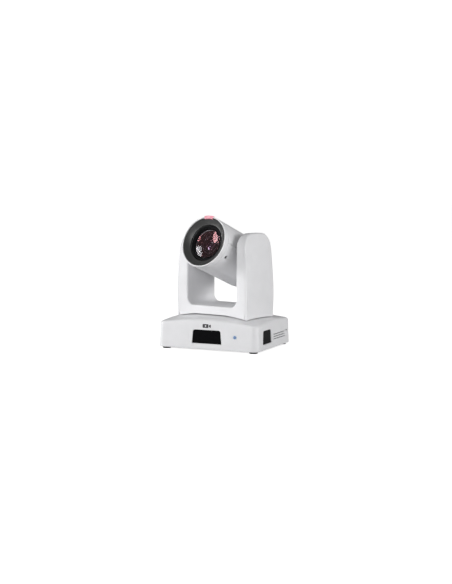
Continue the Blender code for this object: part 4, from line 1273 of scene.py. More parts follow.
    def vent_outline(self, height: float) -> list[Point2]:
        """A vent slot with round ends, as points of (Y, height).

        Args:
            height: The slot's height.

        Returns:
            The points.
        """
        half = self.vent_slot / 2
        reach = self.vent_length / 2 - half
        end = arc((self.vent_middle + reach, height), half, -math.pi / 2, math.pi / 2, 8)
        start = arc((self.vent_middle - reach, height), half, math.pi / 2, 3 * math.pi / 2, 8)
        return end + start

    def build_windows(self) -> None:
        """The three smoked windows, each slightly sunk in its wall and crowned."""
        for node, across, through in (
            ("front_ir_window", "X", "Y"), ("right_ir_window", "Y", "X"), ("left_ir_window", "Y", "X"),
        ):
            low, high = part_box(node)
            start, end = getattr(low, through.lower()), getattr(high, through.lower())
            panel = Solid(prism(self.window_outline(node, across), through, start, end))
            self.body.add(f"{node}_panel", panel, WINDOW, [node], 30, 0.35 * MM, 3)

    def build_status_light(self) -> None:
        """The domed status lens with the pale ring that spreads its light."""
        low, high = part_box("status_led")
        radius, middle = (high.x - low.x) / 2, (low + high) / 2
        centre = (middle.x, 0, middle.z)
        front = low.y
        dome = [(radius * math.sin(turn * math.pi / 12), front - 0.35 * MM * math.cos(turn * math.pi / 12))
                for turn in range(1, 7)]
        lens = [(0, front - 0.35 * MM), *dome, (radius, high.y), (0, high.y)]
        self.body.add("status_lens", Solid(lathe(lens, "Y", 40, centre)), LED, ["status_led"], 40)
        inner, outer = radius + 0.1 * MM, radius + self.halo_width
        ring = [(outer, front + 2 * MM), (outer, front + 0.2 * MM), (outer - 0.2 * MM, front),
                (inner + 0.2 * MM, front - 0.05 * MM), (inner, front + 0.2 * MM), (inner, front + 2 * MM)]
        self.body.add("status_halo", Solid(lathe(ring, "Y", 40, centre)), HALO, smooth=30)

    def build_vent_shade(self) -> None:
        """Painted shade behind the vents and the lock slot: a near-black plate with a row of ribs, standing
        in for the dark inside of the base.
        """
        reach = self.high.x - self.wall - self.draft - 0.6 * MM
        start = self.vent_middle - self.vent_length / 2 - 3 * MM
        bottom, top, margin = 11 * MM, 30 * MM, 1 * MM
        pitch, width = 3.6 * MM, 1.2 * MM
        for hand in Side:
            near, far = hand.span(reach - 0.8 * MM, reach)
            plate = Solid(block((near, start, bottom), (far, self.lock[0] + 5 * MM, top)))
            near, far = hand.span(reach - 0.4 * MM, reach + 0.35 * MM)
            ribs = []
            for step in range(17):
                y = start + 2 * MM + pitch * step
                ribs.append(Solid(block((near, y, bottom + margin), (far, y + width, top - margin))))
            # the near-black plate and ribs are painted shade: they stand in for the dark inside behind the
            # vents
            self.body.add(f"vent_gauze_{hand.word}", plate.join(*ribs), FLOCK)

    def build_mark(self) -> None:
        """A printed pictogram over the front window: a video camera's body with a round hole, and a wedge."""
        front = self.low.y
        low, high = front - 0.1 * MM, front + 0.3 * MM
        body_half, wedge_half = 3.1 * MM, 2.7 * MM
        outline = rounded_rectangle(5.2 * MM, body_half, 1.1 * MM, 6)
        body = Solid(prism([(x - 1.9 * MM, self.mark_height + z) for x, z in outline], "Y", low, high))
        body.cut(
            Solid(rod(1.35 * MM, "Y", low - 1 * MM, high + 1 * MM, 32, (-1.9 * MM, 0, self.mark_height)))
        )
        sides = [(4.1 * MM, -1.1 * MM), (7.6 * MM, -wedge_half), (7.6 * MM, wedge_half), (4.1 * MM, 1.1 * MM)]
        wedge = Solid(prism([(x, self.mark_height + z) for x, z in sides], "Y", low, high))
        mark = gathered([body, wedge])
        wall = self.roof_height(0, front) - self.roof_edge - self.low.z - self.foot_edge
        for vert in mark.bm.verts:
            vert.co.y += self.draft / wall * (vert.co.z - self.low.z - self.foot_edge)
        self.body.add("front_mark", mark, PRINT)

    def build_feet(self) -> None:
        """Four rubber feet with a dished face and a round lower edge."""
        for end in ("front", "rear"):
            for hand in Side:
                node = f"foot_{end}_{hand.word}"
                low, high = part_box(node)
                middle, radius = (low + high) / 2, (high.x - low.x) / 2
                edge = 1.0 * MM
                corner = arc((radius - edge, edge), edge, -math.pi / 2, 0, 6)
                dish = [(0, 0.5 * MM), (radius * 0.5, 0.5 * MM), (radius * 0.62, 0.0)]
                profile = [*dish, *corner, (radius, high.z), (0, high.z)]
                foot = Solid(lathe(profile, "Z", 48, (middle.x, middle.y, 0)))
                self.body.add(f"{node}_pad", foot, RUBBER, [node], 40)

    def build_underside(self) -> None:
        """The base plate, its cross-recess screws and the tripod insert with its thread."""
        dress_node("base_plate", STEEL, 0.3 * MM)
        for end in ("front", "rear"):
            for hand in Side:
                node = f"base_screw_{end}_{hand.word}"
                low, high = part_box(node)
                head = CrossScrew(length=high.z - low.z - 1.7 * MM).solid()
                middle = (low + high) / 2
                seat = Matrix.Translation((middle.x, middle.y, low.z + 1.6 * MM))
                down = seat @ Matrix.Rotation(math.pi, 4, "X")
                self.body.add(f"{node}_head", head.moved(down), STEEL, [node], 35)
        low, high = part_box("tripod_insert")
        outer, major, minor, pitch = (high.x - low.x) / 2, 3.175 * MM, 2.7 * MM, 1.27 * MM
        thread: list[Point2] = []
        turns = int((high.z - low.z - 1 * MM) / pitch)
        for turn in range(turns):
            base = high.z - 0.5 * MM - turn * pitch
            thread += [(major, base), (minor, base - pitch / 2)]
        profile = [(outer, low.z), (outer, high.z), (major, high.z), *thread, (major + 0.4 * MM, low.z)]
        self.body.add("tripod_thread", Solid(lathe(profile, "Z", 48)), BRASS, ["tripod_insert"], 25)

    def dress_drive(self) -> None:
        """Finishes for the chassis, board and pan drive inside."""
        dress_node("chassis", STEEL, 0.2 * MM)
        dress_node("main_board", BOARD)
        dress_node("pan_motor", STEEL, 0.4 * MM)
        dress_node("pan_bearing", STEEL, 0.2 * MM)
        dress_node("pan_pinion", STEEL)


@dataclass
class RearSockets:
    """The socket tray at the rear, and the fine parts inside each socket."""

    body: Body

    def build(self) -> None:
        """Builds and dresses the tray and each socket."""
        dress_node("rear_panel", PORT, 0.35 * MM)
        for node, finish in (
            ("usb_port", STEEL), ("hdmi_port", STEEL), ("lan_port", STEEL), ("sdi_port", STEEL),
            ("dc_jack", PORT), ("control_port", PORT), ("audio_jack", ACETAL),
        ):
            dress_node(node, finish, 0.25 * MM)
        self.build_tongue("usb", 5.4 * MM, 3.2 * MM, 4)
        self.build_tongue("hdmi", 10.6 * MM, 1.3 * MM, 9)
        self.build_network()
        self.build_control()
        self.build_coaxial()
        self.build_power()

    @staticmethod
    def face(node: str) -> tuple[Vector, float]:
        """A socket's middle and where its outer face is along Y."""
        low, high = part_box(node)
        return (low + high) / 2, high.y

    def build_tongue(self, kind: str, width: float, height: float, count: int) -> None:
        """The tongue that carries a socket's contacts.

        Args:
            kind: The socket's name without its ending.
            width: The tongue's width.
            height: Its height.
            count: Contacts on it.
        """
        middle, face = self.face(f"{kind}_port")
        start, end = face - 8.6 * MM, face - 1.6 * MM
        low = (middle.x - width / 2, start, middle.z - height / 2)
        high = (middle.x + width / 2, end, middle.z + height / 2)
        self.body.add(f"{kind}_tongue", Solid(block(low, high)), PORT, bevel=0.15 * MM)
        strips = []
        pitch = width / count
        for step in range(count):
            x = middle.x - width / 2 + pitch * (step + 0.5)
            top = middle.z + height / 2 + 0.02 * MM
            strips.append(Solid(block(
                (x - pitch * 0.28, start, top), (x + pitch * 0.28, end - 0.5 * MM, top + 0.1 * MM)
            )))
        self.body.add(f"{kind}_contacts", gathered(strips), CONTACT)

    def build_network(self) -> None:
        """The network socket's sprung contacts and its two link lights."""
        middle, face = self.face("lan_port")
        _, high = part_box("lan_port")
        wires = []
        for step in range(8):
            x = middle.x + (step - 3.5) * 1.02 * MM
            wires.append(
                Solid(rod(0.2 * MM, "Y", face - 10 * MM, face - 2 * MM, 8, (x, 0, middle.z + 3.4 * MM)))
            )
        self.body.add("lan_contacts", gathered(wires), CONTACT)
        for hand in Side:
            x = middle.x + hand.value * 6.1 * MM
            low = (x - 1.2 * MM, face + 0.05 * MM, high.z - 1.9 * MM)
            lamp = Solid(block(low, (x + 1.2 * MM, face + 0.3 * MM, high.z - 0.5 * MM)))
            self.body.add(f"lan_lamp_{hand.word}", lamp, LINK_LAMP, bevel=0.1 * MM)

    def build_control(self) -> None:
        """The round control socket's insert with its contact holes and key."""
        middle, face = self.face("control_port")
        centre = (middle.x, 0, middle.z)
        insert = Solid(rod(4.6 * MM, "Y", face - 7.8 * MM, face - 2 * MM, 36, centre))
        holes = []
        for count, radius in ((3, 1.2 * MM), (5, 2.9 * MM)):
            for step in range(count):
                angle = 2 * math.pi * step / count + math.pi / 2
                x, z = middle.x + radius * math.cos(angle), middle.z + radius * math.sin(angle)
                holes.append(Solid(rod(0.45 * MM, "Y", face - 5 * MM, face, 12, (x, 0, z))))
        self.body.add("control_insert", insert.cut(*holes), BLACK, bevel=0.1 * MM)

    def build_coaxial(self) -> None:
        """The coaxial socket's bayonet lugs and its insulator."""
        low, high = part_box("sdi_port")
        middle = (low + high) / 2
        centre = (middle.x, 0, middle.z)
        barrel = 4.8 * MM
        for hand in Side:
            near, far = sorted(
                (middle.x + hand.value * (barrel + 0.05 * MM), middle.x + hand.value * (barrel + 1 * MM))
            )
            lug = Solid(rod(0.9 * MM, "X", near, far, 20, (0, high.y - 3.2 * MM, middle.z)))
            self.body.add(f"sdi_lug_{hand.word}", lug, STEEL, bevel=0.15 * MM)
        sleeve = Solid(tube(3.7 * MM, 1.2 * MM, "Y", high.y - 9 * MM, high.y - 3.4 * MM, 36, centre))
        self.body.add("sdi_insulator", sleeve, ACETAL, bevel=0.15 * MM)

    def build_power(self) -> None:
        """The power jack's metal sleeve and the audio jack's ring."""
        middle, face = self.face("dc_jack")
        centre = (middle.x, 0, middle.z)
        sleeve = Solid(tube(2.9 * MM, 2.6 * MM, "Y", face - 8.6 * MM, face - 0.4 * MM, 36, centre))
        self.body.add("dc_sleeve", sleeve, STEEL)
        middle, face = self.face("audio_jack")
        centre = (middle.x, 0, middle.z)
        ring = Solid(tube(3.2 * MM, 1.85 * MM, "Y", face + 0.05 * MM, face + 0.7 * MM, 36, centre))
        self.body.add("audio_ring", ring, CONTACT, bevel=0.15 * MM)


# ---- yoke


@dataclass
class Yoke:
    """The U-shaped yoke: one shell with a soft inner edge, and a leaning cover on each arm's outer side."""

    body: Body
    base: Base
    inner: float = 50.0 * MM
    outer: float = 72.4 * MM
    widest: float = 95.0 * MM
    top: float = 191.0 * MM
    lean: float = 7.2 * MM
    half_depth: float = 38.6 * MM
    floor: float = 70.5 * MM
    corner: float = 12.0 * MM
    top_round: float = 28.0 * MM  # in front
    rear_round: float = 22.0 * MM
    foot: float = 44.0 * MM
    wall: float = 2.2 * MM
    cover: float = 4.0 * MM
    inner_edge: float = 2.6 * MM
    cover_edge: float = 0.9 * MM
    cover_top_edge: float = 5.0 * MM
    skirt: float = 1.5 * MM
    collar: float = 15.6 * MM

    def build(self) -> None:
        """Builds and dresses every piece of the yoke."""
        self.build_shell()
        for hand in Side:
            self.build_cover(hand)
        self.dress_drive()

    def outer_at(self, z: float) -> float:
        """Half the yoke's width at a height.

        Args:
            z: The height.

        Returns:
            The half width.
        """
        above = z - self.widest
        if above < 0:
            return self.outer - 1.2 * MM * (above / (45 * MM)) ** 2
        return self.outer - self.lean * (above / (self.top - self.widest)) ** 1.35

    def depth_share(self, z: float) -> float:
        """The yoke's depth at a height as a share of its greatest."""
        above = (z - self.widest) / (self.top - self.widest)
        return 1 - 1.4 * MM * above**2 / self.half_depth

    def top_at(self, y: float) -> float:
        """The arms' height at a depth: level in the middle, round to the front and rear.

        Args:
            y: The depth.

        Returns:
            The height.
        """
        rounding = self.top_round if y < 0 else self.rear_round
        past = max(0.0, abs(y) - self.half_depth + rounding)
        return self.top - rounding + math.sqrt(max(0.0, rounding**2 - past**2))

    def stations(self) -> list[tuple[float, float]]:
        """Depths across the yoke with how far its inner edge is rounded off there, front to rear.

        Returns:
            The depths and roundings.
        """
        edge = self.inner_edge
        halves = []
        for rounding in (self.top_round, self.rear_round):
            rows = []
            for step in range(7):
                turn = step / 6 * math.pi / 2
                rows.append((self.half_depth - edge * (1 - math.cos(turn)), edge * (1 - math.sin(turn))))
            flat = self.half_depth - rounding
            start = math.asin((rounding - edge) / rounding)
            for step in range(1, 13):
                rows.append((flat + rounding * math.sin(start * (1 - step / 12)), 0.0))
            rows += [(flat * (1 - step / 3), 0.0) for step in range(1, 4)]
            halves.append(rows)
        front, rear = halves
        return [(-y, off) for y, off in front] + rear[-2::-1]

    def section(self, y: float, off: float) -> list[Point3]:
        """The yoke's U at a depth: up inside, over each arm and down outside.

        Args:
            y: The depth.
            off: How far the inner edge is rounded off into the wall there.

        Returns:
            The ring, its first half inside and its second half outside, mirrored point for point.
        """
        top = self.top_at(y)
        rise = min(1.6 * MM, self.top_round / 4)
        inner = self.inner + off
        radius = self.corner + off
        floor = self.floor - off
        over = arc((inner + rise, top - rise), rise, math.pi, math.pi / 2, 4)[::-1]
        up = [(inner, blended(top - rise, floor + radius, step / 16)) for step in range(1, 16)]
        fillet = arc((inner - radius, floor + radius), radius, 0, -math.pi / 2, 12)
        half = [*over, *up, *fillet]
        level = [(blended(half[-1][0], 0, step / 8), floor) for step in range(1, 9)]
        inside_right = [*half, *level]
        count = len(inside_right)
        outside_right = []
        for index in range(count):
            if index < len(over) + len(up):
                z = blended(top, self.foot + 12 * MM, index / (len(over) + len(up)))
                outside_right.append((self.outer_at(z) - self.cover, z))
            else:
                share = (index - len(over) - len(up)) / (count - 1 - len(over) - len(up))
                z = blended(self.foot + 12 * MM, self.foot, min(1.0, share * 4))
                reach = self.outer_at(self.foot) - self.cover
                outside_right.append((reach * (1 - max(0.0, share - 0.25) / 0.75), z))
        inside = inside_right + [(-x, z) for x, z in reversed(inside_right[:-1])]
        outside = outside_right + [(-x, z) for x, z in reversed(outside_right[:-1])]
        ring = inside + outside[::-1]
        return [(x, y * self.depth_share(z), z) for x, z in ring]

    def arm_outline(self, inset: float, low: float, up: int = 20, turns: int = 18) -> list[Point2]:
        """An arm's side view in (depth, height), from its front foot over the top to its rear foot.

        Args:
            inset: How far inside the arm's own outline.
            low: The height of its foot.
            up: Steps up the straight stretch.
            turns: Steps round the top.

        Returns:
            The outline's points.
        """
        halves = []
        for rounding in (self.top_round, self.rear_round):
            spring = self.top - rounding
            half = []
            for step in range(up):
                z = blended(low, spring, step / up)
                half.append((self.half_depth * self.depth_share(z) - inset, z))
            flat = self.half_depth * self.depth_share(spring) - rounding
            half += arc((flat, spring), rounding - inset, 0, math.pi / 2, turns)
            halves.append(half)
        front, rear = halves
        return [(-y, z) for y, z in front] + [(y, z) for y, z in reversed(rear)]

    def shadow(self) -> Solid:
        """Everything below the skirt: the roof's cone, raised by the running gap.

        Returns:
            The solid to cut away.
        """
        far = 130 * MM
        flat = self.base.flat_radius
        height = self.base.high.z + self.skirt
        end = height - (far - flat) * self.base.fall
        return Solid(lathe([(0, 0), (far, 0), (far, end), (flat, height), (0, height)], "Z", 128))

    def build_shell(self) -> None:
        """The U shell, hollow in both arms and the cross-piece, open to the covers and below."""
        shell = Solid(loft([self.section(y, off) for y, off in self.stations()], ladder=True))
        cutters = []
        for hand in Side:
            outline = self.arm_outline(self.wall, self.foot - 1 * MM)
            near, far = self.inner + self.wall, self.outer + self.wall
            rings = [[(hand.value * x, y, z) for y, z in outline] for x in (near, far)]
            cutters.append(Solid(loft(rings, ladder=True)))
            hole = rod(
                self.collar, "X", *hand.span(self.inner - 1 * MM, self.inner + 0.9 * MM), 64, self.pivot()
            )
            cutters.append(Solid(hole))
            bore = rod(9.5 * MM, "X", *hand.span(self.inner - 1 * MM, self.inner + 5 * MM), 48, self.pivot())
            cutters.append(Solid(bore))
        half = self.half_depth - self.wall - 1 * MM
        reach = self.inner + self.wall + 1 * MM
        cutters.append(Solid(block((-reach, -half, 0), (reach, half, self.floor - self.wall))))
        cutters.append(self.shadow())
        shell.cut(*cutters)
        self.body.add("yoke_skin", shell, WHITE, ["yoke_shell"], 33, 0.3 * MM)

    @staticmethod
    def pivot() -> Point3:
        """The tilt axis's height, as a centre."""
        return (0, 0, joint("tilt")["pos_m"][2])

    def edge_at(self, z: float) -> float:
        """The rounding of a cover's outer edge: small up the front, growing over the round top.

        Args:
            z: The height.

        Returns:
            The rounding.
        """
        start = self.top - 1.3 * self.top_round
        share = max(0.0, (z - start) / (self.top - start))
        return blended(self.cover_edge, self.cover_top_edge, share**1.5)

    def build_cover(self, hand: Side) -> None:
        """The shallow dish on an arm's outer side.

        Args:
            hand: The arm's side.
        """
        outline = self.arm_outline(0, self.foot)
        slim = self.arm_outline(self.cover_top_edge, self.foot)
        inside = self.arm_outline(self.wall, self.foot + self.wall)
        shallow = self.cover - HAIR
        sign = hand.value
        rings = [
            [(sign * (self.outer_at(z) - self.wall), y, z) for y, z in inside],
            [(sign * (self.outer_at(z) - shallow), y, z) for y, z in inside],
            [(sign * (self.outer_at(z) - shallow), y, z) for y, z in outline],
        ]
        for step in range(7):
            turn = step / 6 * math.pi / 2
            ring = []
            for (y, z), (slim_y, slim_z) in zip(outline, slim):
                edge = self.edge_at(z)
                share = edge / self.cover_top_edge * (1 - math.cos(turn))
                back = min(edge, shallow) * (1 - math.sin(turn))
                ring.append(
                    (sign * (self.outer_at(z) - back), blended(y, slim_y, share), blended(z, slim_z, share))
                )
            rings.append(ring)
        cover = Solid(loft(rings, ladder=True)).cut(self.shadow())
        self.body.add(f"{hand.word}_arm_skin", cover, WHITE, [f"{hand.word}_arm_cover"], 30, 0.25 * MM)

    def dress_drive(self) -> None:
        """Finishes for the turntable, shaft, wheels, belt and motor inside."""
        dress_node("turntable", ALUMINIUM, 0.2 * MM)
        dress_node("pan_shaft", ALUMINIUM, 0.2 * MM)
        dress_node("pan_gear", ACETAL)
        dress_node("tilt_motor", STEEL, 0.4 * MM)
        dress_node("tilt_motor_pulley", BRASS)
        dress_node("tilt_belt", RUBBER)
        dress_node("left_tilt_bearing", STEEL, 0.2 * MM)
        dress_node("right_tilt_bearing", STEEL, 0.2 * MM)


# ---- head


@dataclass
class Head:
    """The head's skins: upper and lower covers, front ring, dark hood, tally lamp, hubs and screws."""

    body: Body
    radius: float = 43.2 * MM
    front: float = 63.5 * MM
    rear: float = 60.0 * MM
    wall: float = 2.2 * MM
    rear_round: float = 9.0 * MM
    ring_length: float = 9.2 * MM
    rim: float = 1.9 * MM
    seam: float = 1.0 * MM
    seam_gap: float = 0.6 * MM
    lip: float = 1.3 * MM
    cone_depth: float = 7.0 * MM
    throat: float = 31.0 * MM
    throat_end: float = 51.0 * MM
    collar: float = 15.0 * MM
    tally_width: float = 18.0 * MM
    tally_length: float = 5.5 * MM
    tally_proud: float = 1.3 * MM
    tally_sunk: float = 4.2 * MM
    screw_station: float = 45.0 * MM
    screw_angle: float = math.radians(-28)
    screw_radius: float = 2.3 * MM
    screw_sunk: float = 3.4 * MM
    segments: int = 144

    def build(self) -> None:
        """Builds and dresses every piece of the head's outside."""
        for word, sign in (("upper", 1), ("lower", -1)):
            self.build_cover(word, sign)
        self.build_ring()
        self.build_hood()
        self.build_tally()
        for hand in Side:
            self.build_hub(hand)
            self.build_screw(hand)
        dress_node("tilt_pulley", ACETAL)
        dress_node("head_frame", ALUMINIUM, 0.2 * MM)
        dress_node("sensor_board", BOARD)
        dress_node("image_sensor", SENSOR)

    def cup(self) -> Solid:
        """The whole skin behind the front ring, with a softly crowned rear.

        Returns:
            The skin.
        """
        start = self.ring_length - self.front + HAIR
        centre = (self.radius - self.rear_round, self.rear - self.rear_round)
        outside = [(self.radius, blended(start, centre[1], step / 6)) for step in range(6)]
        outside += arc(centre, self.rear_round, 0, math.pi / 2, 14)
        outside += [(centre[0] * (1 - step / 5), self.rear) for step in range(1, 5)] + [(0, self.rear)]
        inside = arc(centre, self.rear_round - self.wall, 0, math.pi / 2, 8)
        inner = [(0, self.rear - self.wall), *reversed(inside), (self.radius - self.wall, start)]
        return Solid(lathe(outside + inner, "Y", self.segments))

    def build_cover(self, word: str, sign: int) -> None:
        """One half of the skin, cut at the seam, round the hubs and for its screws.

        Args:
            word: The half's name.
            sign: 1 for the upper half, -1 for the lower.
        """
        far = 2 * self.rear
        edge = self.seam + sign * self.seam_gap / 2
        low, high = sorted((edge, edge - sign * far))
        cutters = [
            Solid(block((-far, -far, low), (far, far, high))),
            Solid(rod(self.collar + HAIR, "X", -far, far, 64)),
        ]
        if sign < 0:
            for hand in Side:
                bore = Solid(rod(self.screw_radius + HAIR, "X", *hand.span(self.radius / 2, far), 32))
                dish = Solid(
                    rod(self.screw_radius + 1.0 * MM, "X", *hand.span(self.radius - 0.9 * MM, far), 40)
                )
                cutters += [piece.moved(self.screw_place(hand)) for piece in (bore, dish)]
        cover = self.cup().cut(*cutters)
        self.body.add(f"head_{word}_skin", cover, WHITE, [f"head_{word}_cover"], 30, 0.35 * MM, 3)

    def screw_place(self, hand: Side) -> Matrix:
        """The frame of a side screw: its X turned down to the screw's angle, at the screw's station."""
        turn = Matrix.Rotation(-self.screw_angle * hand.value, 4, "Y")
        return Matrix.Translation((0, -self.screw_station, 0)) @ turn

    def sector(self, inner: float, outer: float, half: float) -> list[Point2]:
        """The outline of an arched block over the top, as points of (X, height).

        Args:
            inner: Its inner radius.
            outer: Its outer radius.
            half: Half the angle that it spans.

        Returns:
            The points.
        """
        over = arc((0, 0), outer, math.pi / 2 - half, math.pi / 2 + half, 14)
        under = arc((0, 0), inner, math.pi / 2 + half, math.pi / 2 - half, 14)
        return over + under

    def notch(self) -> Solid:
        """The room that the tally lamp takes from the ring and the hood.

        Returns:
            The solid to cut away.
        """
        half = math.asin(self.tally_width / 2 / self.radius) + HAIR / self.radius
        outline = self.sector(self.radius - self.tally_sunk - HAIR, self.radius + 3 * MM, half)
        return Solid(prism(outline, "Y", -self.front - 1 * MM, self.tally_length - self.front + HAIR))

    def build_ring(self) -> None:
        """The white front ring with its thin rim."""
        front, rear = -self.front, self.ring_length - self.front
        edge, soft, chamfer = 0.8 * MM, 0.4 * MM, 0.3 * MM
        inner = self.radius - self.rim
        bend = arc((self.radius - edge, front + edge), edge, 0, -math.pi / 2, 6)
        lip = arc((inner + soft, front + soft), soft, -math.pi / 2, -math.pi, 4)
        profile = [(self.radius - chamfer, rear), (self.radius, rear - chamfer), *bend, *lip, (inner, rear)]
        ring = Solid(lathe(profile, "Y", self.segments)).cut(self.notch())
        self.body.add("front_ring_skin", ring, WHITE, ["front_trim_ring"], 30, 0.15 * MM)

    def build_hood(self) -> None:
        """The hood: a satin cone, a rounded step, and a throat with fine light-trap ridges."""
        front = -self.front
        outer = self.radius - self.rim - HAIR
        start = front + self.lip
        cone_end = front + self.cone_depth
        edge, bow, skirt = 0.6 * MM, 0.35 * MM, 3 * MM
        profile: list[Point2] = [(outer, start + skirt), (outer, start)]
        profile += arc((outer - edge, start), edge, 0, -math.pi / 2, 5)[1:]
        mouth = self.throat + edge
        steps = 8
        for step in range(1, steps + 1):
            share = step / steps
            sag = bow * math.sin(share * math.pi)
            radius = blended(outer - edge, mouth, share)
            profile.append((radius, blended(start - edge, cone_end, share) + sag))
        profile += arc((mouth, cone_end + edge), edge, -math.pi / 2, -math.pi, 4)[1:]
        ridge, ridge_depth = 0.9 * MM, 0.35 * MM
        count = int((self.front - self.throat_end - self.cone_depth - 1 * MM) / ridge)
        for step in range(count):
            along = cone_end + ridge + step * ridge
            profile += [(self.throat, along), (self.throat + ridge_depth, along + ridge * 0.75)]
        back, end = self.throat + 2 * MM, -self.throat_end
        profile += [(self.throat, end), (back, end), (back, cone_end + skirt)]
        hood = Solid(lathe(profile, "Y", self.segments)).cut(self.notch())
        self.body.add("lens_hood_skin", hood, HOOD, ["lens_hood"], 28, 0.1 * MM)

    def build_tally(self) -> None:
        """The arched translucent lamp let into the top of the ring."""
        half = math.asin(self.tally_width / 2 / self.radius)
        outline = self.sector(self.radius - self.tally_sunk, self.radius + self.tally_proud, half)
        low, high = -self.front - 0.3 * MM, self.tally_length - self.front
        lamp = Solid(prism(outline, "Y", low, high))
        self.body.add("tally_lens", lamp, TALLY, ["tally_lamp"], 30, 0.6 * MM, 4)

    def build_hub(self, hand: Side) -> None:
        """A hub's collar between the head and the arm, with a stepped end and a groove.

        Args:
            hand: The hub's side.
        """
        low, high = self.local_span(f"{hand.word}_tilt_hub")
        joint_end = 49.4 * MM
        flange, bore, shaft = 17 * MM, 4 * MM, 8 * MM
        thick = 2 * MM
        start, end, slope = 45.4 * MM, 47 * MM, 0.4 * MM
        bed = self.collar - 0.6 * MM
        groove = [(self.collar, start), (bed, start + slope), (bed, end - slope), (self.collar, end)]
        profile = [(bore, low), (flange, low), (flange, low + thick), (self.collar, low + thick), *groove,
                   (self.collar, joint_end), (shaft, joint_end), (shaft, high), (bore, high)]
        turned = [(radius, hand.value * along) for radius, along in profile]
        solid = Solid(lathe(turned, "X", 96))
        self.body.add(f"{hand.word}_hub_skin", solid, BLACK, [f"{hand.word}_tilt_hub"], 30, 0.25 * MM)

    def local_span(self, node: str) -> tuple[float, float]:
        """How far from the middle a CAD node starts and ends along the tilt axis.

        Args:
            node: The node's name.

        Returns:
            The near and the far end.
        """
        back = self.body.place.inverted()
        reach = [abs((back @ vert.co).x) for vert in frame["nodes"][node].data.vertices]
        return min(reach), max(reach)

    def build_screw(self, hand: Side) -> None:
        """The dark screw sunk low in the head's side.

        Args:
            hand: The screw's side.
        """
        node = f"head_screw_{hand.word}"
        size = CrossScrew(
            self.screw_radius, head_height=1.1 * MM, shank_radius=1.2 * MM, length=4.2 * MM, recess=0.7 * MM
        )
        screw = size.solid()
        turn = Matrix.Rotation(hand.value * math.pi / 2, 4, "Y")
        out = Matrix.Translation((hand.value * (self.radius - self.screw_sunk), 0, 0))
        screw.moved(self.screw_place(hand) @ out @ turn)
        self.body.add(f"{node}_head", screw, SCREW_STEEL, [node], 35)


# ---- optics


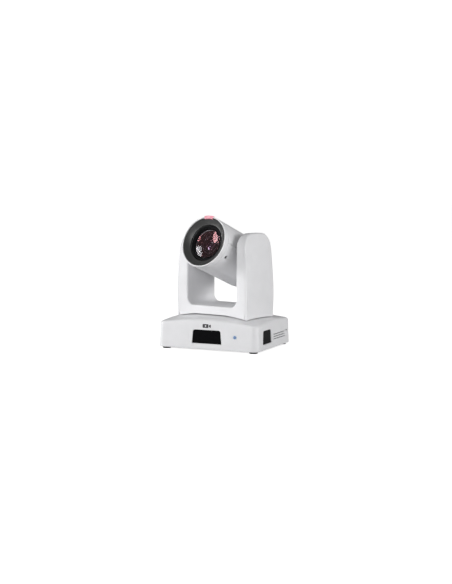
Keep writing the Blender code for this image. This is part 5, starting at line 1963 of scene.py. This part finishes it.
@dataclass
class Optics:
    """The lens: barrel, domed front glass, stepped baffle, and the zoom and focus groups behind it."""

    head: Body
    zoom: Body
    focus: Body
    barrel_radius: float = 30.0 * MM
    bore: float = 27.7 * MM
    barrel_front: float = 54.0 * MM
    barrel_rear: float = 26.0 * MM
    glass_rim: float = 50.5 * MM
    glass_edge: float = 4.0 * MM
    glass_dome: float = 4.0 * MM
    second_radius: float = 23.8 * MM
    second_hollow: float = 4.5 * MM
    second_sag: float = 2.1 * MM
    baffle_mouth: float = 15.5 * MM
    baffle_depth: float = 4.0 * MM
    cell_length: float = 8.0 * MM
    cell_lens: float = 11.0 * MM
    cell_gap: float = 2.0 * MM
    group_gap: float = 24.0 * MM
    segments: int = 128

    def build(self) -> None:
        """Builds and dresses every piece of the lens."""
        self.build_barrel()
        self.build_front_glass()
        self.build_baffle()
        zoom_start = self.cell_gap - self.glass_rim + self.glass_edge + 2 * HAIR + self.baffle_depth
        focus_start = zoom_start + self.cell_length + self.group_gap
        self.build_group(self.zoom, "zoom", zoom_start, 8.7 * MM, INNER_GLASS)
        self.build_group(self.focus, "focus", focus_start, 9.4 * MM, DEEP_GLASS)

    def build_barrel(self) -> None:
        """The fixed tube with a chamfered, finely ribbed mouth, and the ring that holds the front glass."""
        front, rear = -self.barrel_front, self.barrel_rear
        edge, chamfer = 0.5 * MM, 0.6 * MM
        profile = [
            (self.barrel_radius, rear), (self.barrel_radius, front + edge),
            (self.barrel_radius - edge, front), (self.bore + chamfer, front),
            (self.bore, front + chamfer), (self.bore, rear),
        ]
        self.head.add("barrel_skin", Solid(lathe(profile, "Y", self.segments)), FLOCK, ["lens_barrel"], 30)
        outer, inner = self.bore - 0.1 * MM, self.bore - 2.2 * MM
        start, end = front + 0.7 * MM, -self.glass_rim - 0.2 * MM
        ring: list[Point2] = [(outer, end), (outer, start)]
        pitch, tread = 0.6 * MM, 0.35 * MM
        for step in range(4):
            along = start + step * pitch
            radius = blended(outer - 0.4 * MM, inner, step / 3)
            ring += [(radius, along), (radius, along + tread)]
        ring.append((inner, end))
        self.head.add("glass_retainer", Solid(lathe(ring, "Y", self.segments)), FLOCK, smooth=25)

    def build_front_glass(self) -> None:
        """The front pair: a domed element, and behind it a coated one that is hollow to the front."""
        radius = self.bore - HAIR
        rim = -self.glass_rim
        edge, flatter, gap = 1.0 * MM, 0.6 * MM, 0.4 * MM
        dome = self.dish(radius, rim, -self.glass_dome, rim + edge, flatter - self.glass_dome)
        self.head.add("front_glass", dome, FRONT_GLASS, ["front_lens"], 40)
        back = rim + self.glass_edge
        second = self.dish(
            self.second_radius, rim + gap, self.second_hollow, back - 0.1 * MM, self.second_sag
        )
        self.head.add("second_glass", second, SECOND_GLASS, smooth=40)
        inner, outer = self.second_radius + HAIR, radius - 0.2 * MM
        ring = [(inner, back - 0.2 * MM), (inner, rim + 1.5 * MM), (inner + 0.3 * MM, rim + 1.2 * MM),
                (outer, rim + 1.3 * MM), (outer, back - 0.2 * MM)]
        self.head.add("second_seat", Solid(lathe(ring, "Y", self.segments)), FLOCK, smooth=25)

    def dish(self, radius: float, front: float, front_sag: float, back: float, back_sag: float) -> Solid:
        """An element between two curved faces.

        Args:
            radius: Its radius.
            front: Where its front face's rim is, along Y.
            front_sag: How far that face's middle lies behind the rim; negative in front of it.
            back: Where its back face's rim is.
            back_sag: The same for the back face.

        Returns:
            The element.
        """
        steps = 20
        shares = [step / steps for step in range(steps + 1)]
        face = [(radius * share, front + front_sag * (1 - share**2)) for share in shares]
        rear = [(radius * share, back + back_sag * (1 - share**2)) for share in reversed(shares)]
        return Solid(lathe(face + rear, "Y", self.segments))

    def build_baffle(self) -> None:
        """The stepped black baffle and the thin grey ring at its mouth, whose colour is a painted highlight
        along the mouth's edge.
        """
        outer = self.bore - HAIR
        start = -self.glass_rim + self.glass_edge + HAIR
        profile: list[Point2] = [(outer, start), (outer, start + self.baffle_depth),
                                 (self.baffle_mouth, start + self.baffle_depth)]
        steps = 7
        for step in range(steps):
            radius = blended(self.baffle_mouth, outer - 1.4 * MM, step / (steps - 1))
            along = start + self.baffle_depth * (1 - (step + 1) / (steps + 1))
            profile += [(radius, along + self.baffle_depth / (steps + 1) * 0.7), (radius, along)]
        self.head.add("baffle_skin", Solid(lathe(profile, "Y", self.segments)), FLOCK, ["lens_baffle"], 25)
        self.build_hoop(
            self.head, "mouth_hoop", self.baffle_mouth - 0.6 * MM, start + self.baffle_depth - 0.4 * MM
        )

    def build_hoop(self, body: Body, name: str, radius: float, along: float, half: float = 0.35 * MM) -> None:
        """A thin round ring in light grey: a painted highlight standing in for an edge that catches the
        light.

        Args:
            body: The body that it rides on.
            name: Its name.
            radius: The radius of its middle line.
            along: Where it is, along Y.
            half: Half its thickness.
        """
        section = arc((radius, along), half, 0, 2 * math.pi, 10)[:-1]
        body.add(name, Solid(lathe(section, "Y", self.segments)), GLINT_GREY, smooth=60)

    def build_group(self, body: Body, word: str, start: float, mouth: float, glass: Finish) -> None:
        """A sliding cell with its element and the ring that holds it.

        Args:
            body: The group's body.
            word: The group's name.
            start: Where the cell's front is at rest, along Y.
            mouth: The inner radius of the holding ring.
            glass: The element's finish.
        """
        play, web, rise, tread = 0.5 * MM, 2 * MM, 0.28 * MM, 0.9 * MM
        outer, hollow = self.bore - play, self.bore - play - web
        seat = self.cell_lens + HAIR
        face: list[Point2] = []
        for step in range(5):
            radius = blended(outer - 0.8 * MM, seat + 2.4 * MM, step / 4)
            along = start + rise * step
            face += [(radius, along), (radius - tread, along)]
        profile = [(seat, start + web), (hollow, start + web), (hollow, start + self.cell_length),
                   (outer, start + self.cell_length), (outer, start), *face, (seat, start + 1.4 * MM)]
        body.add(
            f"{word}_cell_skin", Solid(lathe(profile, "Y", self.segments)), FLOCK, [f"{word}_cell"], 25
        )
        radius, bulge = self.cell_lens, 1.5 * MM
        element = self.dish(radius, start - 0.5 * MM, -bulge, start + 2.5 * MM, -bulge)
        body.add(f"{word}_element", element, glass, [f"{word}_lens"], 40)
        lip = [(radius, start - 0.75 * MM), (radius, start - 1.6 * MM), (mouth + 0.4 * MM, start - 2.3 * MM),
               (mouth, start - 2.0 * MM), (mouth, start - 1.6 * MM)]
        body.add(f"{word}_lip", Solid(lathe(lip, "Y", self.segments)), BLACK, smooth=30)
        self.build_hoop(body, f"{word}_hoop", mouth * 0.6, start - 2.3 * MM, 0.25 * MM)
        # the near-black pupil is painted shade for the dark aperture at the lens's centre
        pupil = self.dish(mouth * 0.5, start - 2.1 * MM, -0.9 * MM, start - 1.9 * MM, -0.3 * MM)
        body.add(f"{word}_pupil", pupil, DEEP_GLASS, smooth=40)


# ---- studio


@dataclass
class Studio:
    """A pale floor under soft light, and the viewpoint."""

    floor_half: float = 30.0
    azimuth: float = math.radians(24.87)
    elevation: float = math.radians(5.38)
    distance: float = 1750.63 * MM
    aside: float = 1.39 * MM
    look_height: float = 90.81 * MM
    lens: float = 64.30
    ambient: float = 0.42  # what the surroundings give to matt surfaces from the sides
    overhead: float = 0.2  # and from straight above
    mirrored: float = 0.22  # what gloss mirrors of them
    backdrop: float = 1.1  # how they look from the camera
    floor_colour: float = 0.62
    floor_glow: float = 0.85

    def build(self) -> None:
        """Builds the floor, the lights, the surroundings and the camera."""
        self.build_floor()
        self.build_world()
        self.add_light("key", (-0.1, -2.6, 0.95), 1.2, 29.0)
        self.add_light("fill", (2.35, 0.3, 0.42), 1.1, 27.0)
        self.add_light("catch", (-2.37, -0.96, 0.61), 1.0, 34.0)
        self.add_light("spark", (-2.3, -1.15, 0.75), 0.12, 2.4)
        self.build_camera()

    def build_floor(self) -> None:
        """The floor, a wide slab whose top is what the feet stand on."""
        reach = self.floor_half
        mesh = bpy.data.meshes.new("floor")
        slab = Solid(block((-reach, -reach, -0.02), (reach, reach, 0)))
        slab.bm.to_mesh(mesh)
        slab.bm.free()
        floor = bpy.data.objects.new("floor", mesh)
        bpy.context.scene.collection.objects.link(floor)
        made = bpy.data.materials.new("Floor paper")
        made.use_nodes = True
        graph = Graph(made.node_tree)
        shader = made.node_tree.nodes["Principled BSDF"]
        cloud = EFFECTS.place(graph, Effect.CLOUD, scale=3.0, low=0.0, high=1.0)
        pale = (self.floor_colour,) * 3
        paler = (self.floor_colour * 1.04,) * 3
        graph.feed(
            shader.inputs["Base Color"], graph.tint(cloud.outputs["Value"], (*pale, 1.0), (*paler, 1.0))
        )
        shader.inputs["Roughness"].default_value = 0.8
        shader.inputs["Specular IOR Level"].default_value = 0.1
        shader.inputs["Emission Color"].default_value = (1.0, 1.0, 1.0, 1.0)
        seen = graph.add("ShaderNodeLightPath").outputs["Is Camera Ray"]
        graph.feed(shader.inputs["Emission Strength"], graph.math("MULTIPLY", seen, self.floor_glow))
        mesh.materials.append(made)

    def build_world(self) -> None:
        """Even white surroundings: full white to the camera, dimmer in gloss and as a source of light."""
        scene = bpy.context.scene
        world = bpy.data.worlds.new("studio")
        world.use_nodes = True
        graph = Graph(world.node_tree)
        background = world.node_tree.nodes["Background"]
        background.inputs["Color"].default_value = (1.0, 1.0, 1.0, 1.0)
        path = graph.add("ShaderNodeLightPath")
        towards = graph.add("ShaderNodeTexCoord").outputs["Generated"]
        height = graph.add("ShaderNodeSeparateXYZ", {0: towards}).outputs["Z"]
        matt = graph.span(height, self.ambient, self.overhead)
        lit = graph.span(path.outputs["Is Glossy Ray"], matt, self.mirrored)
        graph.feed(
            background.inputs["Strength"], graph.span(path.outputs["Is Camera Ray"], lit, self.backdrop)
        )
        scene.world = world
        scene.view_settings.view_transform = "Standard"

    def add_light(self, name: str, place: Point3, size: float, power: float) -> None:
        """A soft round light that faces the camera head's middle.

        Args:
            name: The light's name.
            place: Where it stands.
            size: Its diameter.
            power: Its power in watts.
        """
        data = bpy.data.lights.new(name, "AREA")
        data.shape = "DISK"
        data.size = size
        data.energy = power
        light = bpy.data.objects.new(name, data)
        light.location = place
        aim = Vector((0, 0, 110 * MM)) - Vector(place)
        light.rotation_mode = "QUATERNION"
        light.rotation_quaternion = aim.to_track_quat("-Z", "Y")
        bpy.context.scene.collection.objects.link(light)

    def build_camera(self) -> None:
        """The camera at its viewing angle."""
        flat = math.cos(self.elevation)
        back = Vector(
            (math.sin(self.azimuth) * flat, -math.cos(self.azimuth) * flat, math.sin(self.elevation))
        )
        right = Vector((math.cos(self.azimuth), math.sin(self.azimuth), 0))
        data = bpy.data.cameras.new("camera")
        data.lens = self.lens
        camera = bpy.data.objects.new("camera", data)
        camera.location = right * self.aside + Vector((0, 0, self.look_height)) + back * self.distance
        camera.rotation_mode = "QUATERNION"
        camera.rotation_quaternion = (-back).to_track_quat("-Z", "Y")
        bpy.context.scene.collection.objects.link(camera)
        bpy.context.scene.camera = camera


def main() -> None:
    """Builds every sub-assembly in order."""
    logging.basicConfig(level=logging.INFO, format="%(name)s: %(message)s")
    bodies = body_frames()
    base = Base(bodies["base"])
    parts = [
        Studio(),
        base,
        RearSockets(bodies["base"]),
        Yoke(bodies["yoke"], base),
        Head(bodies["head"]),
        Optics(bodies["head"], bodies["zoom_group"], bodies["focus_group"]),
    ]
    for part in parts:
        part.build()
        LOG.info("built %s", type(part).__name__)


if __name__ == "__main__":
    main()
